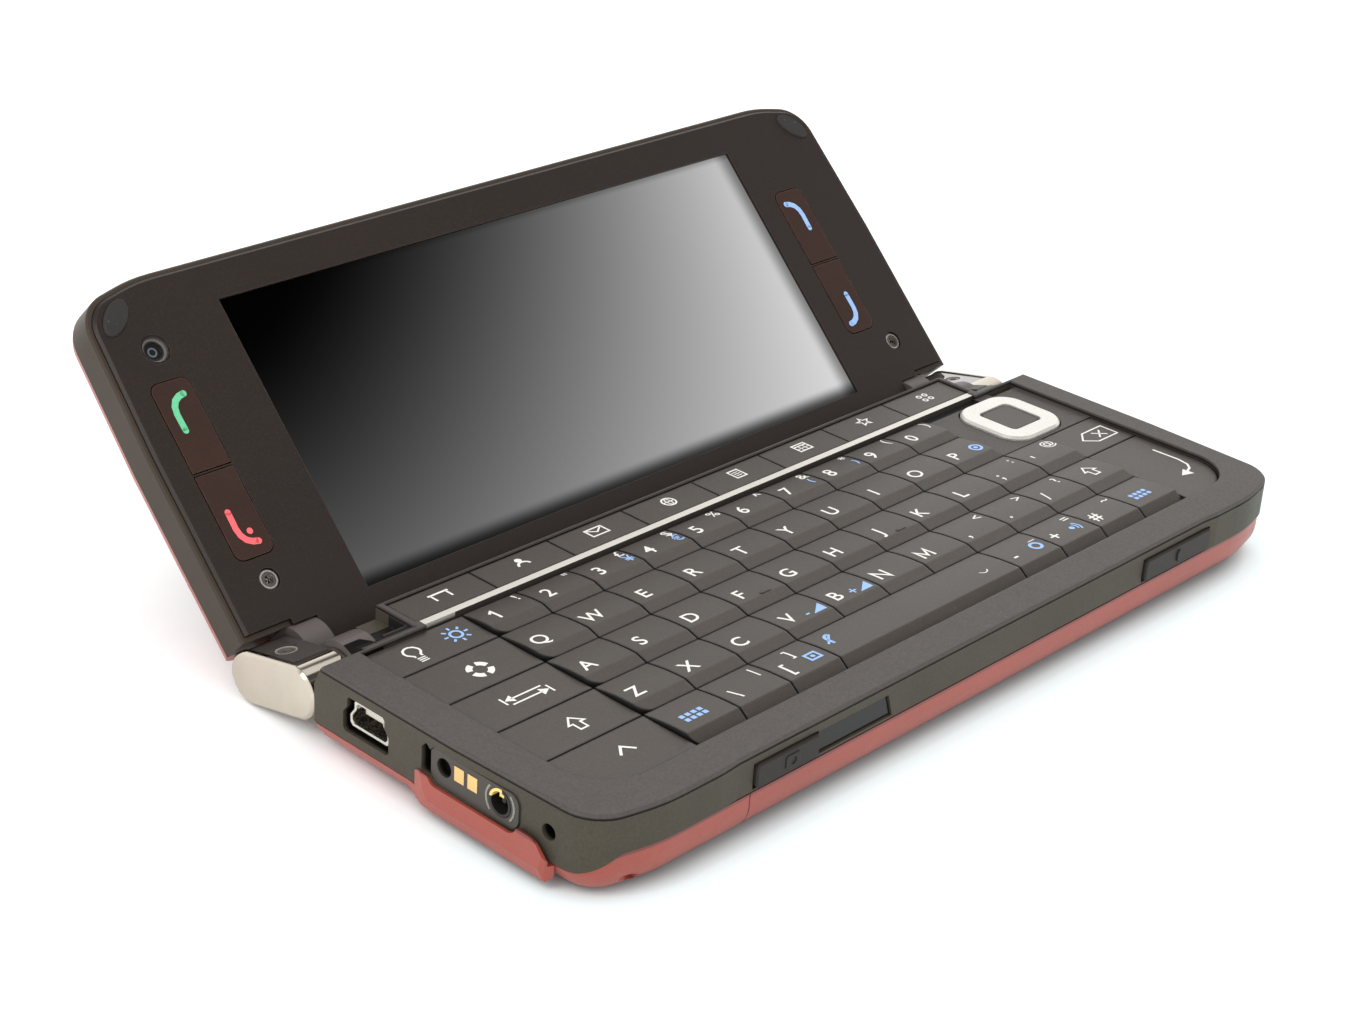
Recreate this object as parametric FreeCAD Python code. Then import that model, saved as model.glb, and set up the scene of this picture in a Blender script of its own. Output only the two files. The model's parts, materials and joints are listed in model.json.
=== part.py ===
import FreeCAD, Part
import math
import os

# Clamshell communicator phone, stored open as it stands on a table.
# Frame: +X to the right end, +Y to the hinge side, +Z up, millimetres.
# Origin: middle of the underside of the lower half.

# Both halves, in plan
length = 132.8
front_y = -28.5
corner_side_run = 22.7
corner_side_radius = 12.0
corner_draw = 0.75
corner_drop = 2.0
corner_radius = 5.3
corner_front_run = 9.6
corner_front_radius = 24.0
hinge_axis_y = 21.6
spine_depth = 2.7

# Lower half, heights above the table
rim_z = 11.05
parting_z = 10.6
band_foot_z = 6.0
band_left_foot_z = 3.4
foot_ramp_start_x = -62.0
parting_gap = 0.18
small_corner = 0.8
rim_edge_bevel = 0.25
bottom_radius = 4.2
thumb_inset = 0.25
thumb_left_x = -46.4
thumb_right_x = 47.6
thumb_blend = 3.0

# Painted covers under the lower half
cover_wall = 1.2
cover_gap = 0.15
cover_front_set_back = 0.3
cover_top_gap = 0.22
cover_link_room = 0.35
seam_x = -42.8
seam_gap = 0.15
lip_front_y = -21.3
lip_rear_y = 2.9
lip_top_z = 5.75
lip_low_z = 1.3
lip_crease_z = 2.7
lip_edge_set_back = 0.35
lip_taper = 2.4
lip_proud = 0.7
eyelet_x = -61.3
eyelet_radius = 0.65
eyelet_z = 2.0
eyelet_inset = 1.3
eyelet_slope = 0.35
eyelet_depth = 2.6

# Chassis pockets
case_wall = 2.4
case_clearance = 0.1
key_floor_z = 8.7
board_floor_z = 7.5
board_left_x = -58.0
board_right_x = 61.5
board_front_y = -24.0
board_rear_y = 15.5
board_clearance = 0.2
plate_thickness = 0.5
battery_length = 55.0
battery_width = 38.0
battery_x = 2.0
battery_y = -2.0
battery_clearance = 0.2
battery_corner = 1.0

# Hinge: one axis in each half, joined by a link at each end
base_axis_z = 5.5
axis_pitch = 8.8
closing_gap = 0.55
link_half = 3.4
link_width = 6.5
link_end_plate = 0.9
link_floor = 1.0
link_clearance = 0.25
notch_slant_y = 16.7
notch_slant_z = 8.4
side_clearance = 0.15
barrel_gap = 0.3
barrel_inner_x = 55.7
barrel_relief = 0.25
barrel_seat_clearance = 0.03
trough_start = 0.5
trough_depth = 1.6
roll_clearance = 0.15
pin_radius = 1.25
pin_running_clearance = 0.05
pin_seat_clearance = 0.02
pin_in_barrel = 4.0
pin_in_link = 4.0
inlay_start = 0.4
inlay_clearance = 0.05
link_edge_bevel = 0.35
link_screw_radius = 1.1
link_screw_height = 0.5
link_screw_s = 4.9
link_drop_deg = 12.5
lid_rise_deg = 45.0

# Keyboard grid
key_left_x = -45.3
key_pitch_x = 8.73
key_pitch_y = 7.87
grid_rear_y = 9.75
columns = 10
wide_columns = 11
column_gap = 0.3
row_gap = 0.15
key_bottom_z = 9.05
key_rear_z = 10.4
key_ridge_z = 10.95
key_ridge_share = 0.78
key_arch = 0.15
key_corner = 2.0
home_bar_length = 1.7
home_bar_width = 0.35
home_bar_height = 0.08
home_bar_share_x = 0.62
home_keys = (3, 6)
last_row_extra = 0.6
last_row_foot_z = 9.6
space_first_column = 3
space_columns = 4

# Keyboard well and its flat keys
well_left_x = -60.9
well_right_x = 62.6
well_front_y = -23.0
well_rear_y = 16.4
well_corner = 7.0
flat_key_z = 10.35
flat_gap = 0.25
soft_keys = 8
soft_pitch = 13.2
soft_left_x = -51.0
soft_front_y = 18.15
soft_rear_y = 23.4
soft_z = 10.75
soft_gap = 0.25
strip_front_y = 16.85
strip_width = 1.05
strip_z = 10.9
strip_floor_z = 10.0
pocket_inner_x = 51.9
pocket_front_y = 19.0
pocket_floor_z = 8.9

# Direction ring
ring_x = 52.7
ring_y = 8.9
ring_size_x = 12.1
ring_size_y = 12.3
ring_corner = 3.7
ring_band = 2.75
ring_z = 10.85
ring_gap = 0.2
ring_bevel = 0.3
select_z = 10.7

# Side keys and window in the front of the band
side_key_low_z = 6.35
side_key_high_z = 9.4
side_key_proud = 0.5
side_key_depth = 1.3
side_key_gap = 0.12
side_pocket_depth = 1.7
camera_key_x = -42.4
camera_key_length = 10.6
voice_key_x = 32.4
voice_key_length = 15.0
window_x = -31.6
window_length = 13.2
window_slant = 1.0
window_depth = 0.9

# Left end
usb_y = 8.45
usb_z = 7.45
usb_width = 6.75
usb_height = 3.5
usb_depth = 5.0
usb_wall = 0.35
usb_set_back = 0.25
usb_step = 0.72
usb_step_low_z = 7.1
usb_step_high_z = 8.0
usb_rear_gap = 0.9
usb_low_gap = 0.95
usb_clearance = 0.05
plate_rear_y = -2.0
plate_front_y = -16.1
plate_high_z = 9.4
plate_low_z = 4.9
plate_set_back = 0.12
plate_depth = 1.0
plate_corner = 1.4
plate_slot_y = -0.6
plate_slot_low_z = 5.6
plate_slot_depth = 2.5
contact_y = -6.65
contact_pitch = 2.13
contact_width = 1.55
contact_height = 1.85
contact_z = 7.68
contact_proud = 0.05
jack_y = -13.15
jack_z = 7.35
jack_radius = 1.75
jack_bore = 1.35
jack_pin_radius = 0.3
jack_ring_radius = 2.35
jack_ring_width = 0.3
jack_leaf = 0.8
jack_depth = 4.2
hole_y = -4.2
hole_z = 7.5
hole_radius = 1.15
mic_y = -20.3
mic_z = 7.0
mic_radius = 1.0
mic_depth = 2.0

# Underside
rear_camera_x = 51.0
rear_camera_y = -4.0
rear_camera_length = 17.0
rear_camera_width = 9.5
rear_camera_set_back = 0.25
lens_radius = 2.6
lens_offset = 3.2
lens_depth = 0.7
lens_clearance = 0.05
flash_offset = 4.6
flash_radius = 1.7
speaker_x = -53.0
speaker_y = 9.5
speaker_radius = 4.4
speaker_thickness = 2.2
slot_length = 6.5
slot_width = 0.8
slot_pitch = 2.0
slots = 3
motor_radius = 1.9
motor_length = 9.0
motor_x = -57.0
motor_y = -12.0
case_screw_radius = 1.4
case_screw_head = 0.7
case_screw_inset_x = 8.0
case_screw_inset_y = 6.5

# Upper half, measured from its own hinge axis
lid_thickness = 8.4
lid_top_y = 51.0
bezel_inset = 0.7
bezel_floor = 1.8
bezel_edge_bevel = 0.35
bezel_clearance = 0.05
band_step = 0.5
lid_band_foot = 4.7
lid_band_gap = 0.1
spine_radius = 5.6
outer_edge_radius = 4.4
window_half_width = 46.6
window_low_y = 4.5
window_high_y = 45.1
window_lip = 1.1
window_recess = 0.45
panel_thickness = 2.0
panel_margin = 1.6
panel_clearance = 0.15
bumper_x = 61.6
bumper_y = 46.4
bumper_long = 5.7
bumper_short = 2.9
bumper_clearance = 0.05
bumper_proud = 0.25
bumper_depth = 1.0
bumper_bevel = 0.2
inner_camera_x = -58.6
inner_camera_y = 41.2
inner_camera_radius = 1.9
inner_camera_recess = 0.55
inner_camera_floor = 1.5
inner_camera_step = 0.4
inner_camera_lens = 1.15
lid_screw_x = 58.7
lid_screw_y = 9.8
lid_screw_radius = 1.35
lid_screw_recess = 0.25
lid_screw_height = 0.8
screw_seat_clearance = 0.05
face_middle_x = -0.4
lid_key_low_y = 12.9
lid_key_high_y = 36.9
lid_key_split_y = 24.7
lid_key_width = 5.6
left_keys_x = -59.2
right_keys_x = 53.4
lid_key_corner = 1.2
lid_key_thickness = 1.45
lid_key_gap = 0.15
lid_key_bar = 0.5

# Outer face of the upper half
outer_window_x = 27.0
outer_window_length = 47.0
outer_window_width = 39.0
outer_window_corner = 2.5
outer_window_thickness = 1.2
outer_window_gap = 0.1
number_first_x = -56.0
number_pitch_x = 8.8
number_pitch_y = 14.6
number_rows = 4
number_columns = 3
outer_key_gap = 0.6
outer_key_proud = 0.3
outer_key_depth = 1.2
outer_pocket_depth = 1.6
outer_key_corner = 0.6
outer_mid_y = 24.5
outer_ring_x = -12.0
outer_ring_size = 15.0
outer_ring_band = 4.2
function_length = 8.2
function_width = 11.0
earpiece_x = 57.5
earpiece_length = 10.0
earpiece_width = 1.6
earpiece_depth = 1.0

# Worked out from the sizes above
rear_y = hinge_axis_y + spine_depth
closed_axis_z = base_axis_z + axis_pitch
lid_face = closed_axis_z - rim_z - closing_gap
lid_outer = lid_face - lid_thickness
barrel_radius = axis_pitch / 2 - barrel_gap / 2
link_inner_x = length / 2 - link_width
notch_x = link_inner_x - side_clearance
notch_y = hinge_axis_y - link_half - link_clearance
lid_notch_y = link_half + link_clearance
roll_radius = axis_pitch - lid_face - roll_clearance
lid_roll_radius = lid_face
battery_floor_z = cover_wall + cover_gap
battery_top_z = board_floor_z - plate_thickness

parts = {}


def vec(x, y, z):
    return FreeCAD.Vector(x, y, z)


def on_plane(plane, a, b, level):
    """Point with in-plane coordinates a, b and the level across the plane."""
    if plane == "xy":
        return vec(a, b, level)
    if plane == "yz":
        return vec(level, a, b)
    return vec(a, level, b)


def rounded_wire(corners, plane, level):
    """Closed wire through (a, b, radius) corners: arcs, or a straight cut if small."""
    count = len(corners)
    stops = []
    for i in range(count):
        a, b, radius = corners[i]
        here = on_plane(plane, a, b, level)
        before = corners[i - 1]
        after = corners[(i + 1) % count]
        to_before = (on_plane(plane, before[0], before[1], level) - here).normalize()
        to_after = (on_plane(plane, after[0], after[1], level) - here).normalize()
        half = to_before.getAngle(to_after) / 2
        if radius <= 0:
            stops.append((here, None, here))
            continue
        reach = radius / math.tan(half)
        middle_way = (to_before + to_after).normalize()
        centre = here + middle_way * (radius / math.sin(half))
        stops.append((here + to_before * reach, centre - middle_way * radius, here + to_after * reach))
    edges = []
    for i in range(count):
        start, middle, end = stops[i]
        if middle is not None and corners[i][2] > small_corner:
            edges.append(Part.Arc(start, middle, end).toShape())
        elif middle is not None:
            edges.append(Part.LineSegment(start, end).toShape())
        following = stops[(i + 1) % count][0]
        if end.distanceToPoint(following) > 1e-6:
            edges.append(Part.LineSegment(end, following).toShape())
    return Part.Wire(edges)


def prism(corners, low, high, plane="xy"):
    """Solid between two levels with the rounded outline of the corners."""
    face = Part.Face(rounded_wire(corners, plane, low))
    return face.extrude(on_plane(plane, 0, 0, high - low))


def box(x0, x1, y0, y1, z0, z1):
    return Part.makeBox(x1 - x0, y1 - y0, z1 - z0, vec(x0, y0, z0))


def rectangle(x0, x1, y0, y1, radius=0.0):
    return [(x0, y0, radius), (x1, y0, radius), (x1, y1, radius), (x0, y1, radius)]


def centred(x, y, size_x, size_y, radius=0.0):
    half_x = size_x / 2
    half_y = size_y / 2
    return rectangle(x - half_x, x + half_x, y - half_y, y + half_y, radius)


def rod_x(x0, x1, y, z, radius):
    return Part.makeCylinder(radius, x1 - x0, vec(x0, y, z), vec(1, 0, 0))


def rod_z(x, y, z0, z1, radius):
    return Part.makeCylinder(radius, z1 - z0, vec(x, y, z0), vec(0, 0, 1))


def both_ends(make):
    """The same piece at the right end and at the left end."""
    right = make(1)
    left = make(-1)
    return right.fuse(left)


def span_x(side, near, far):
    """Low and high X of a stretch that lies near to far from the middle."""
    return (near, far) if side > 0 else (-far, -near)


def edges_in_level(shape, level, keep):
    """Edges that lie wholly at one height and pass the test."""
    found = []
    for edge in shape.Edges:
        if all(abs(v.Z - level) < 1e-4 for v in edge.Vertexes):
            if abs(edge.CenterOfMass.z - level) < 1e-4 and keep(edge.CenterOfMass):
                found.append(edge)
    return found


def group(pieces):
    return Part.makeCompound(pieces)


# Outlines of the lower half


def shrunk(corners, inset):
    """Outline with every side moved inward by the same amount."""
    moved = []
    for i in range(len(corners)):
        a, b, radius = corners[i]
        before = corners[i - 1]
        after = corners[(i + 1) % len(corners)]
        arriving = vec(a - before[0], b - before[1], 0).normalize()
        leaving = vec(after[0] - a, after[1] - b, 0).normalize()
        turn = arriving.x * leaving.y - arriving.y * leaving.x
        step_a = inset * (leaving.x - arriving.x) / turn
        step_b = inset * (leaving.y - arriving.y) / turn
        new_radius = radius - inset if turn > 0 else radius + inset
        moved.append((a + step_a, b + step_b, new_radius if radius > 0 else 0))
    return moved


def soft_corner():
    """Left front corner in three bends, as X, distance from the edge and radius."""
    side = length / 2
    return [
        (-side, corner_side_run, corner_side_radius),
        (-side + corner_draw, corner_drop, corner_radius),
        (-side + corner_front_run, 0, corner_front_radius),
    ]


def base_plan(inset, front_set_back=0.0, dip=()):
    """Plan of the lower half with soft front corners, notched for the links."""
    side = length / 2
    front = front_y + front_set_back
    left = [(x, front + y, radius) for x, y, radius in soft_corner()]
    right = [(-x, y, radius) for x, y, radius in reversed(left)]
    notches = [
        (side, notch_y, 0),
        (notch_x, notch_y, 0),
        (notch_x, rear_y, 0),
        (-notch_x, rear_y, 0),
        (-notch_x, notch_y, 0),
        (-side, notch_y, 0),
    ]
    return shrunk(left + list(dip) + right + notches, inset)


def thumb_plan():
    """The same plan with the middle of the front set back for the thumbs."""
    back = front_y + thumb_inset
    bend = thumb_blend
    dip = [
        (thumb_left_x - bend / 2, front_y, bend),
        (thumb_left_x + bend / 2, back, bend),
        (thumb_right_x - bend / 2, back, bend),
        (thumb_right_x + bend / 2, front_y, bend),
    ]
    return base_plan(0, dip=dip)


def under_band_profile():
    """Side view of what lies under the band's foot, deeper at the left end."""
    far = length
    return [
        (-far, -1, 0),
        (far, -1, 0),
        (far, band_foot_z, 0),
        (foot_ramp_start_x, band_foot_z, 3),
        (-length / 2 + 0.8, band_left_foot_z, 1),
        (-far, band_left_foot_z, 0),
    ]


def under_band(drop):
    """Block under the band's foot, lowered by drop."""
    block = prism(under_band_profile(), -length, length, "xz")
    block.translate(vec(0, 0, -drop))
    return block


def beyond_roll():
    """Everything that the lid's inner face rolls through behind the hinge axis."""
    outer = box(-length, length, hinge_axis_y, hinge_axis_y + 20, base_axis_z, rim_z + 5)
    return outer.cut(rod_x(-length, length, hinge_axis_y, base_axis_z, roll_radius))


def barrel_room(side):
    """Room for the lid's barrel when the phone is closed."""
    x0, x1 = span_x(side, barrel_inner_x - barrel_relief, notch_x + 1)
    radius = barrel_radius + barrel_relief
    room = rod_x(x0, x1, hinge_axis_y, closed_axis_z, radius)
    behind = box(x0, x1, hinge_axis_y, rear_y + 5, base_axis_z, rim_z + 5)
    return room.fuse(behind)


def barrel_trough():
    """Sloping way down to the barrels, left and right of the soft keys."""
    start = well_rear_y + trough_start
    profile = [
        (start, rim_z + 1, 0),
        (start, rim_z - 0.1, 0),
        (hinge_axis_y, rim_z - trough_depth, 0),
        (rear_y + 1, rim_z - trough_depth, 0),
        (rear_y + 1, rim_z + 1, 0),
    ]
    left = prism(profile, -notch_x - 1, -pocket_inner_x, "yz")
    right = prism(profile, barrel_inner_x - barrel_relief, notch_x + 1, "yz")
    return left.fuse(right)


def notch_slant(side):
    """Slanted upper edge of the notch that a link turns in."""
    x0, x1 = span_x(side, notch_x - 0.01, length / 2 + 1)
    profile = [
        (notch_y + 1, rim_z + 1, 0),
        (notch_slant_y, rim_z + 1, 0),
        (notch_slant_y, rim_z, 0),
        (notch_y, notch_slant_z, 0),
        (notch_y + 1, notch_slant_z, 0),
    ]
    return prism(profile, x0, x1, "yz")


def barrel_seat(side, y, z):
    """Room for a barrel piece that sits in its half of the phone."""
    x0, x1 = span_x(side, barrel_inner_x - barrel_seat_clearance, notch_x + 1)
    return rod_x(x0, x1, y, z, barrel_radius + barrel_seat_clearance)


def hinge_barrel(side, y, z):
    x0, x1 = span_x(side, barrel_inner_x, notch_x)
    return rod_x(x0, x1, y, z, barrel_radius)


def base_barrel(side):
    """Barrel piece of the lower half, flush with its rear and underside."""
    rear = [(0, 0, 0), (rear_y, 0, bottom_radius), (rear_y, rim_z, 0), (0, rim_z, 0)]
    barrel = hinge_barrel(side, hinge_axis_y, base_axis_z).common(prism(rear, -length, length, "yz"))
    return barrel.cut(pin_bore(side, hinge_axis_y, base_axis_z))


def lid_barrel(side):
    """Barrel piece of the upper half, flush with its spine."""
    far = lid_top_y
    spine = [(-spine_depth, lid_outer, spine_radius), (far, lid_outer, 0), (far, 10, 0), (-spine_depth, 10, 0)]
    barrel = hinge_barrel(side, 0, 0).common(prism(spine, -length, length, "yz"))
    return barrel.cut(pin_bore(side, 0, 0))


def pin_bore(side, y, z):
    x0, x1 = span_x(side, notch_x - pin_in_barrel, notch_x + 1)
    return rod_x(x0, x1, y, z, pin_radius + pin_running_clearance)


# Lower half


def well_plan():
    """Outline of the keyboard well."""
    return [
        (well_left_x, well_front_y, well_corner),
        (well_right_x, well_front_y, well_corner),
        (well_right_x, well_rear_y, 0),
        (well_left_x, well_rear_y, 0),
    ]


def soft_well(clearance=0.0):
    right = soft_left_x + soft_keys * soft_pitch
    return rectangle(
        soft_left_x - soft_gap - clearance,
        right + soft_gap + clearance,
        soft_front_y - soft_gap,
        soft_rear_y + soft_gap,
    )


def panel_edges():
    """Left and front edges of the fixed panel round the direction ring."""
    left = key_left_x + columns * key_pitch_x + flat_gap / 2
    front = grid_rear_y - key_pitch_y + flat_gap / 2
    return left, front


def make_top_case():
    lip = prism(thumb_plan(), parting_z, rim_z)
    lip = lip.makeChamfer(rim_edge_bevel, edges_in_level(lip, rim_z, lambda c: c.y < notch_y))
    block = prism(base_plan(case_wall + case_clearance, thumb_inset), key_floor_z, parting_z)
    case = lip.fuse(block)
    left, front = panel_edges()
    well = prism(well_plan(), key_floor_z - 1, rim_z + 1)
    island = box(left, well_right_x + 1, front, well_rear_y + 1, key_floor_z - 1, flat_key_z)
    case = case.cut(well.cut(island))
    case = case.cut(prism(soft_well(), key_floor_z - 1, rim_z + 1))
    strip_x0, strip_x1 = strip_ends()
    groove = box(strip_x0, strip_x1, well_rear_y - 1, soft_front_y, strip_floor_z, rim_z + 1)
    case = case.cut(groove)
    ring_room = centred(ring_x, ring_y, ring_size_x + 2 * ring_gap, ring_size_y + 2 * ring_gap,
                        ring_corner + ring_gap)
    case = case.cut(prism(ring_room, key_floor_z - 1, rim_z + 1))
    case = case.cut(beyond_roll())
    for side in (1, -1):
        case = case.cut(barrel_room(side))
        x0, x1 = span_x(side, barrel_inner_x - barrel_relief, notch_x + 1)
        case = case.cut(box(x0, x1, notch_y, rear_y + 1, 0, rim_z + 1))
        case = case.cut(notch_slant(side))
    case = case.cut(link_pocket()).cut(barrel_trough())
    jack_room = rod_x(-length / 2, well_left_x - 0.05, jack_y, jack_z, jack_radius + case_clearance)
    case = case.cut(jack_room)
    port_end = usb_set_back + usb_depth - length / 2
    case = case.cut(usb_section(2 * usb_clearance, -length / 2, port_end + usb_clearance))
    return case.removeSplitter()


def link_pocket():
    """Recess left of the soft keys, beside the left hinge barrel."""
    return box(-barrel_inner_x + barrel_relief - 0.1, -pocket_inner_x, pocket_front_y, rear_y + 1,
               pocket_floor_z, rim_z + 1)


def strip_ends():
    x0 = soft_left_x + 0.2
    x1 = soft_left_x + soft_keys * soft_pitch - 0.3
    return x0, x1


def front_pocket(x, span, gap):
    """Pocket in the front of the band for a side key or window."""
    front = front_y + thumb_inset
    return box(x - gap, x + span + gap, front_y - 1, front + side_pocket_depth,
               side_key_low_z - gap, side_key_high_z + gap)


def window_slab(grow, front, rear):
    """Infrared window outline with slanted ends, in the front of the band."""
    low = side_key_low_z - grow
    high = side_key_high_z - 0.1 + grow
    x0 = window_x - grow
    x1 = window_x + window_length + grow
    face = [(x0, low, 0), (x1, low, 0), (x1 - window_slant, high, 0), (x0, high, 0)]
    return prism(face, front, rear, "xz")


def usb_section(grow, x0, x1, rear_gap=0.0, low_gap=0.0):
    """Mini port outline: narrow at the top, wider below a slanting step."""
    half = usb_width / 2 + grow
    front = usb_y - half
    rear = usb_y + half + rear_gap
    low = usb_z - usb_height / 2 - grow - low_gap
    high = usb_z + usb_height / 2 + grow
    face = [
        (front + usb_step, high, 0.3),
        (rear - usb_step, high, 0.3),
        (rear - usb_step, usb_step_high_z, 0.3),
        (rear, usb_step_low_z, 0.3),
        (rear, low, 0.4),
        (front, low, 0.4),
        (front, usb_step_low_z, 0.3),
        (front + usb_step, usb_step_high_z, 0.3),
    ]
    return prism(face, x0, x1, "yz")


def connector_outline(grow):
    return [
        (plate_front_y - grow, plate_low_z - grow, plate_corner),
        (plate_rear_y + grow, plate_low_z - grow, plate_corner),
        (plate_rear_y + grow, plate_high_z + grow, 0.5),
        (plate_front_y - grow, plate_high_z + grow, plate_corner),
    ]


def plate_slot(x0, x1):
    """Slot between the connector plate and the band, round at its top."""
    low = plate_slot_low_z
    high = plate_high_z
    width = plate_slot_y - plate_rear_y
    outline = [
        (plate_rear_y - 0.3, low, 0),
        (plate_slot_y, low, 0.3),
        (plate_slot_y, high, width / 2 - 0.01),
        (plate_rear_y - 0.1, high, width / 2 - 0.01),
    ]
    return prism(outline, x0, x1, "yz")


def screw_places():
    """Case screws under the battery cover."""
    x0 = battery_x - battery_length / 2 - case_screw_inset_x
    x1 = battery_x + battery_length / 2 + case_screw_inset_x
    y0 = battery_y - battery_width / 2 + case_screw_inset_y
    y1 = battery_y + battery_width / 2 - case_screw_inset_y
    return [(x, y) for x in (x0, x1) for y in (y0, y1)]


def battery_box(grow, z0, z1):
    outline = centred(battery_x, battery_y, battery_length + 2 * grow, battery_width + 2 * grow,
                      battery_corner)
    return prism(outline, z0, z1)


def rear_camera_outline(grow):
    size_x = rear_camera_length + 2 * grow
    size_y = rear_camera_width + 2 * grow
    return centred(rear_camera_x, rear_camera_y, size_x, size_y, size_y / 2 - 0.01)


def make_band():
    top = parting_z - parting_gap
    band = prism(thumb_plan(), 0, top).cut(under_band(0))
    core_inset = cover_wall + cover_gap
    core = prism(base_plan(core_inset, cover_front_set_back), battery_floor_z, band_foot_z)
    core_edges = edges_in_level(core, battery_floor_z, lambda c: True)
    core = core.makeChamfer(bottom_radius - core_inset, core_edges)
    band = band.fuse(core.common(under_band(0)))
    for side in (1, -1):
        band = band.cut(barrel_room(side))
        x0, x1 = span_x(side, barrel_inner_x - barrel_relief, notch_x)
        band = band.cut(box(x0, x1, hinge_axis_y, rear_y + 5, 0, rim_z))
        band = band.cut(barrel_seat(side, hinge_axis_y, base_axis_z))
        band = band.cut(notch_slant(side))
    band = band.cut(beyond_roll()).cut(link_pocket()).cut(barrel_trough())
    for plan in (case_pocket_plan(), grown(well_plan(), case_clearance), soft_well(case_clearance)):
        band = band.cut(prism(plan, key_floor_z, rim_z))
    boards = rectangle(board_left_x, board_right_x, board_front_y, board_rear_y, 1.0)
    band = band.cut(prism(boards, board_floor_z, rim_z))
    band = band.cut(battery_box(battery_clearance, -1, battery_top_z))
    left_end = -length / 2
    mouth = usb_section(2 * usb_clearance, left_end - 1, left_end + usb_set_back + 1.5,
                        usb_rear_gap, usb_low_gap)
    band = band.cut(mouth)
    band = band.cut(usb_section(usb_clearance, left_end - 1, left_end + usb_set_back + usb_depth))
    band = band.cut(plate_slot(left_end - 2, left_end + plate_slot_depth))
    socket = connector_outline(0.0)
    band = band.cut(prism(socket, left_end - 2, left_end + plate_set_back + plate_depth, "yz"))
    jack_x = left_end + plate_set_back + plate_depth
    band = band.cut(rod_x(jack_x - 1, jack_x + jack_depth, jack_y, jack_z, jack_radius))
    band = band.cut(rod_x(left_end - 1, left_end + mic_depth, mic_y, mic_z, mic_radius))
    band = band.cut(front_pocket(camera_key_x, camera_key_length, side_key_gap))
    band = band.cut(front_pocket(voice_key_x, voice_key_length, side_key_gap))
    front = front_y + thumb_inset
    band = band.cut(window_slab(0.05, front_y - 1, front + 0.3 + window_depth))
    band = band.cut(prism(rear_camera_outline(0.1), -1, camera_top_z() + 0.1))
    band = band.cut(rod_z(speaker_x, speaker_y, 0, speaker_top_z() + 0.1, speaker_radius + 0.1))
    motor_room = motor_radius + 0.1
    room = rod_x(motor_x - 0.1, motor_x + motor_length + 0.1, motor_y, motor_z(), motor_room)
    under = box(motor_x - 0.1, motor_x + motor_length + 0.1, motor_y - motor_room,
                motor_y + motor_room, 0, motor_z())
    band = band.cut(room.fuse(under))
    for x, y in screw_places():
        head_top = battery_floor_z + case_screw_head
        band = band.cut(rod_z(x, y, 0, head_top, case_screw_radius + screw_seat_clearance))
    return band.removeSplitter()


def case_pocket_plan():
    return base_plan(case_wall, thumb_inset)


def camera_top_z():
    return battery_floor_z + 3.0


def speaker_top_z():
    return battery_floor_z + speaker_thickness


def motor_z():
    return battery_floor_z + motor_radius


def make_cover_blank():
    """Both painted covers as one shell before the seam is cut."""
    outer = prism(base_plan(0, cover_front_set_back), 0, band_foot_z + 1)
    outer = outer.makeFillet(bottom_radius, edges_in_level(outer, 0, lambda c: True))
    outer = outer.common(under_band(cover_top_gap))
    lip = lip_blank()
    outer = outer.fuse(lip)
    inner = prism(base_plan(cover_wall, cover_front_set_back), cover_wall, band_foot_z + 1)
    slope = bottom_radius - cover_wall
    inner = inner.makeChamfer(slope, edges_in_level(inner, cover_wall, lambda c: True))
    return outer.cut(inner)


def lip_blank():
    """Thumb lip that stands out of the left end round the connector plate."""
    end = -length / 2
    root = end + 0.6
    outline = [
        (root, lip_front_y, 0),
        (end - lip_proud, lip_front_y + 0.8, 0.8),
        (end - lip_proud, lip_rear_y - 2 * lip_taper, 3 * lip_taper),
        (root, lip_rear_y, 0),
    ]
    side_view = [
        (lip_front_y, lip_low_z, 0.5),
        (lip_rear_y - 2 * lip_taper, lip_low_z, 2 * lip_taper),
        (lip_rear_y, lip_crease_z, 0),
        (lip_rear_y - 0.2, band_left_foot_z + 0.4, 0.5),
        (lip_rear_y - 1.4 * lip_taper, lip_top_z, lip_taper),
        (lip_front_y + lip_taper, lip_top_z, lip_taper),
        (lip_front_y, band_left_foot_z, 0.5),
    ]
    section = [
        (root, lip_low_z, 0),
        (end - lip_edge_set_back, lip_low_z, 0),
        (end - lip_proud, lip_crease_z, 0),
        (end - lip_edge_set_back, lip_top_z, 0),
        (root, lip_top_z, 0),
    ]
    lip = prism(outline, lip_low_z, lip_top_z).common(prism(side_view, -length, 0, "yz"))
    lip = lip.common(prism(section, -length, length, "xz"))
    behind = box(end - 0.05, end + 2, -length, length, band_left_foot_z - cover_top_gap, rim_z)
    return lip.cut(behind)


def eyelet_cut():
    """Strap hole: a slanting bore low in the front left corner."""
    start = vec(eyelet_x - eyelet_depth, front_y + eyelet_inset - eyelet_depth * eyelet_slope, eyelet_z)
    return Part.makeCylinder(eyelet_radius, 2 * eyelet_depth, start, vec(1, eyelet_slope, 0))


def cover_barrel_room():
    """Room for the two hinge barrels in the painted covers."""
    return both_ends(lambda side: rod_x(*span_x(side, barrel_inner_x - cover_gap, notch_x + 1),
                                        hinge_axis_y, base_axis_z, barrel_radius + cover_gap))


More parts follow.
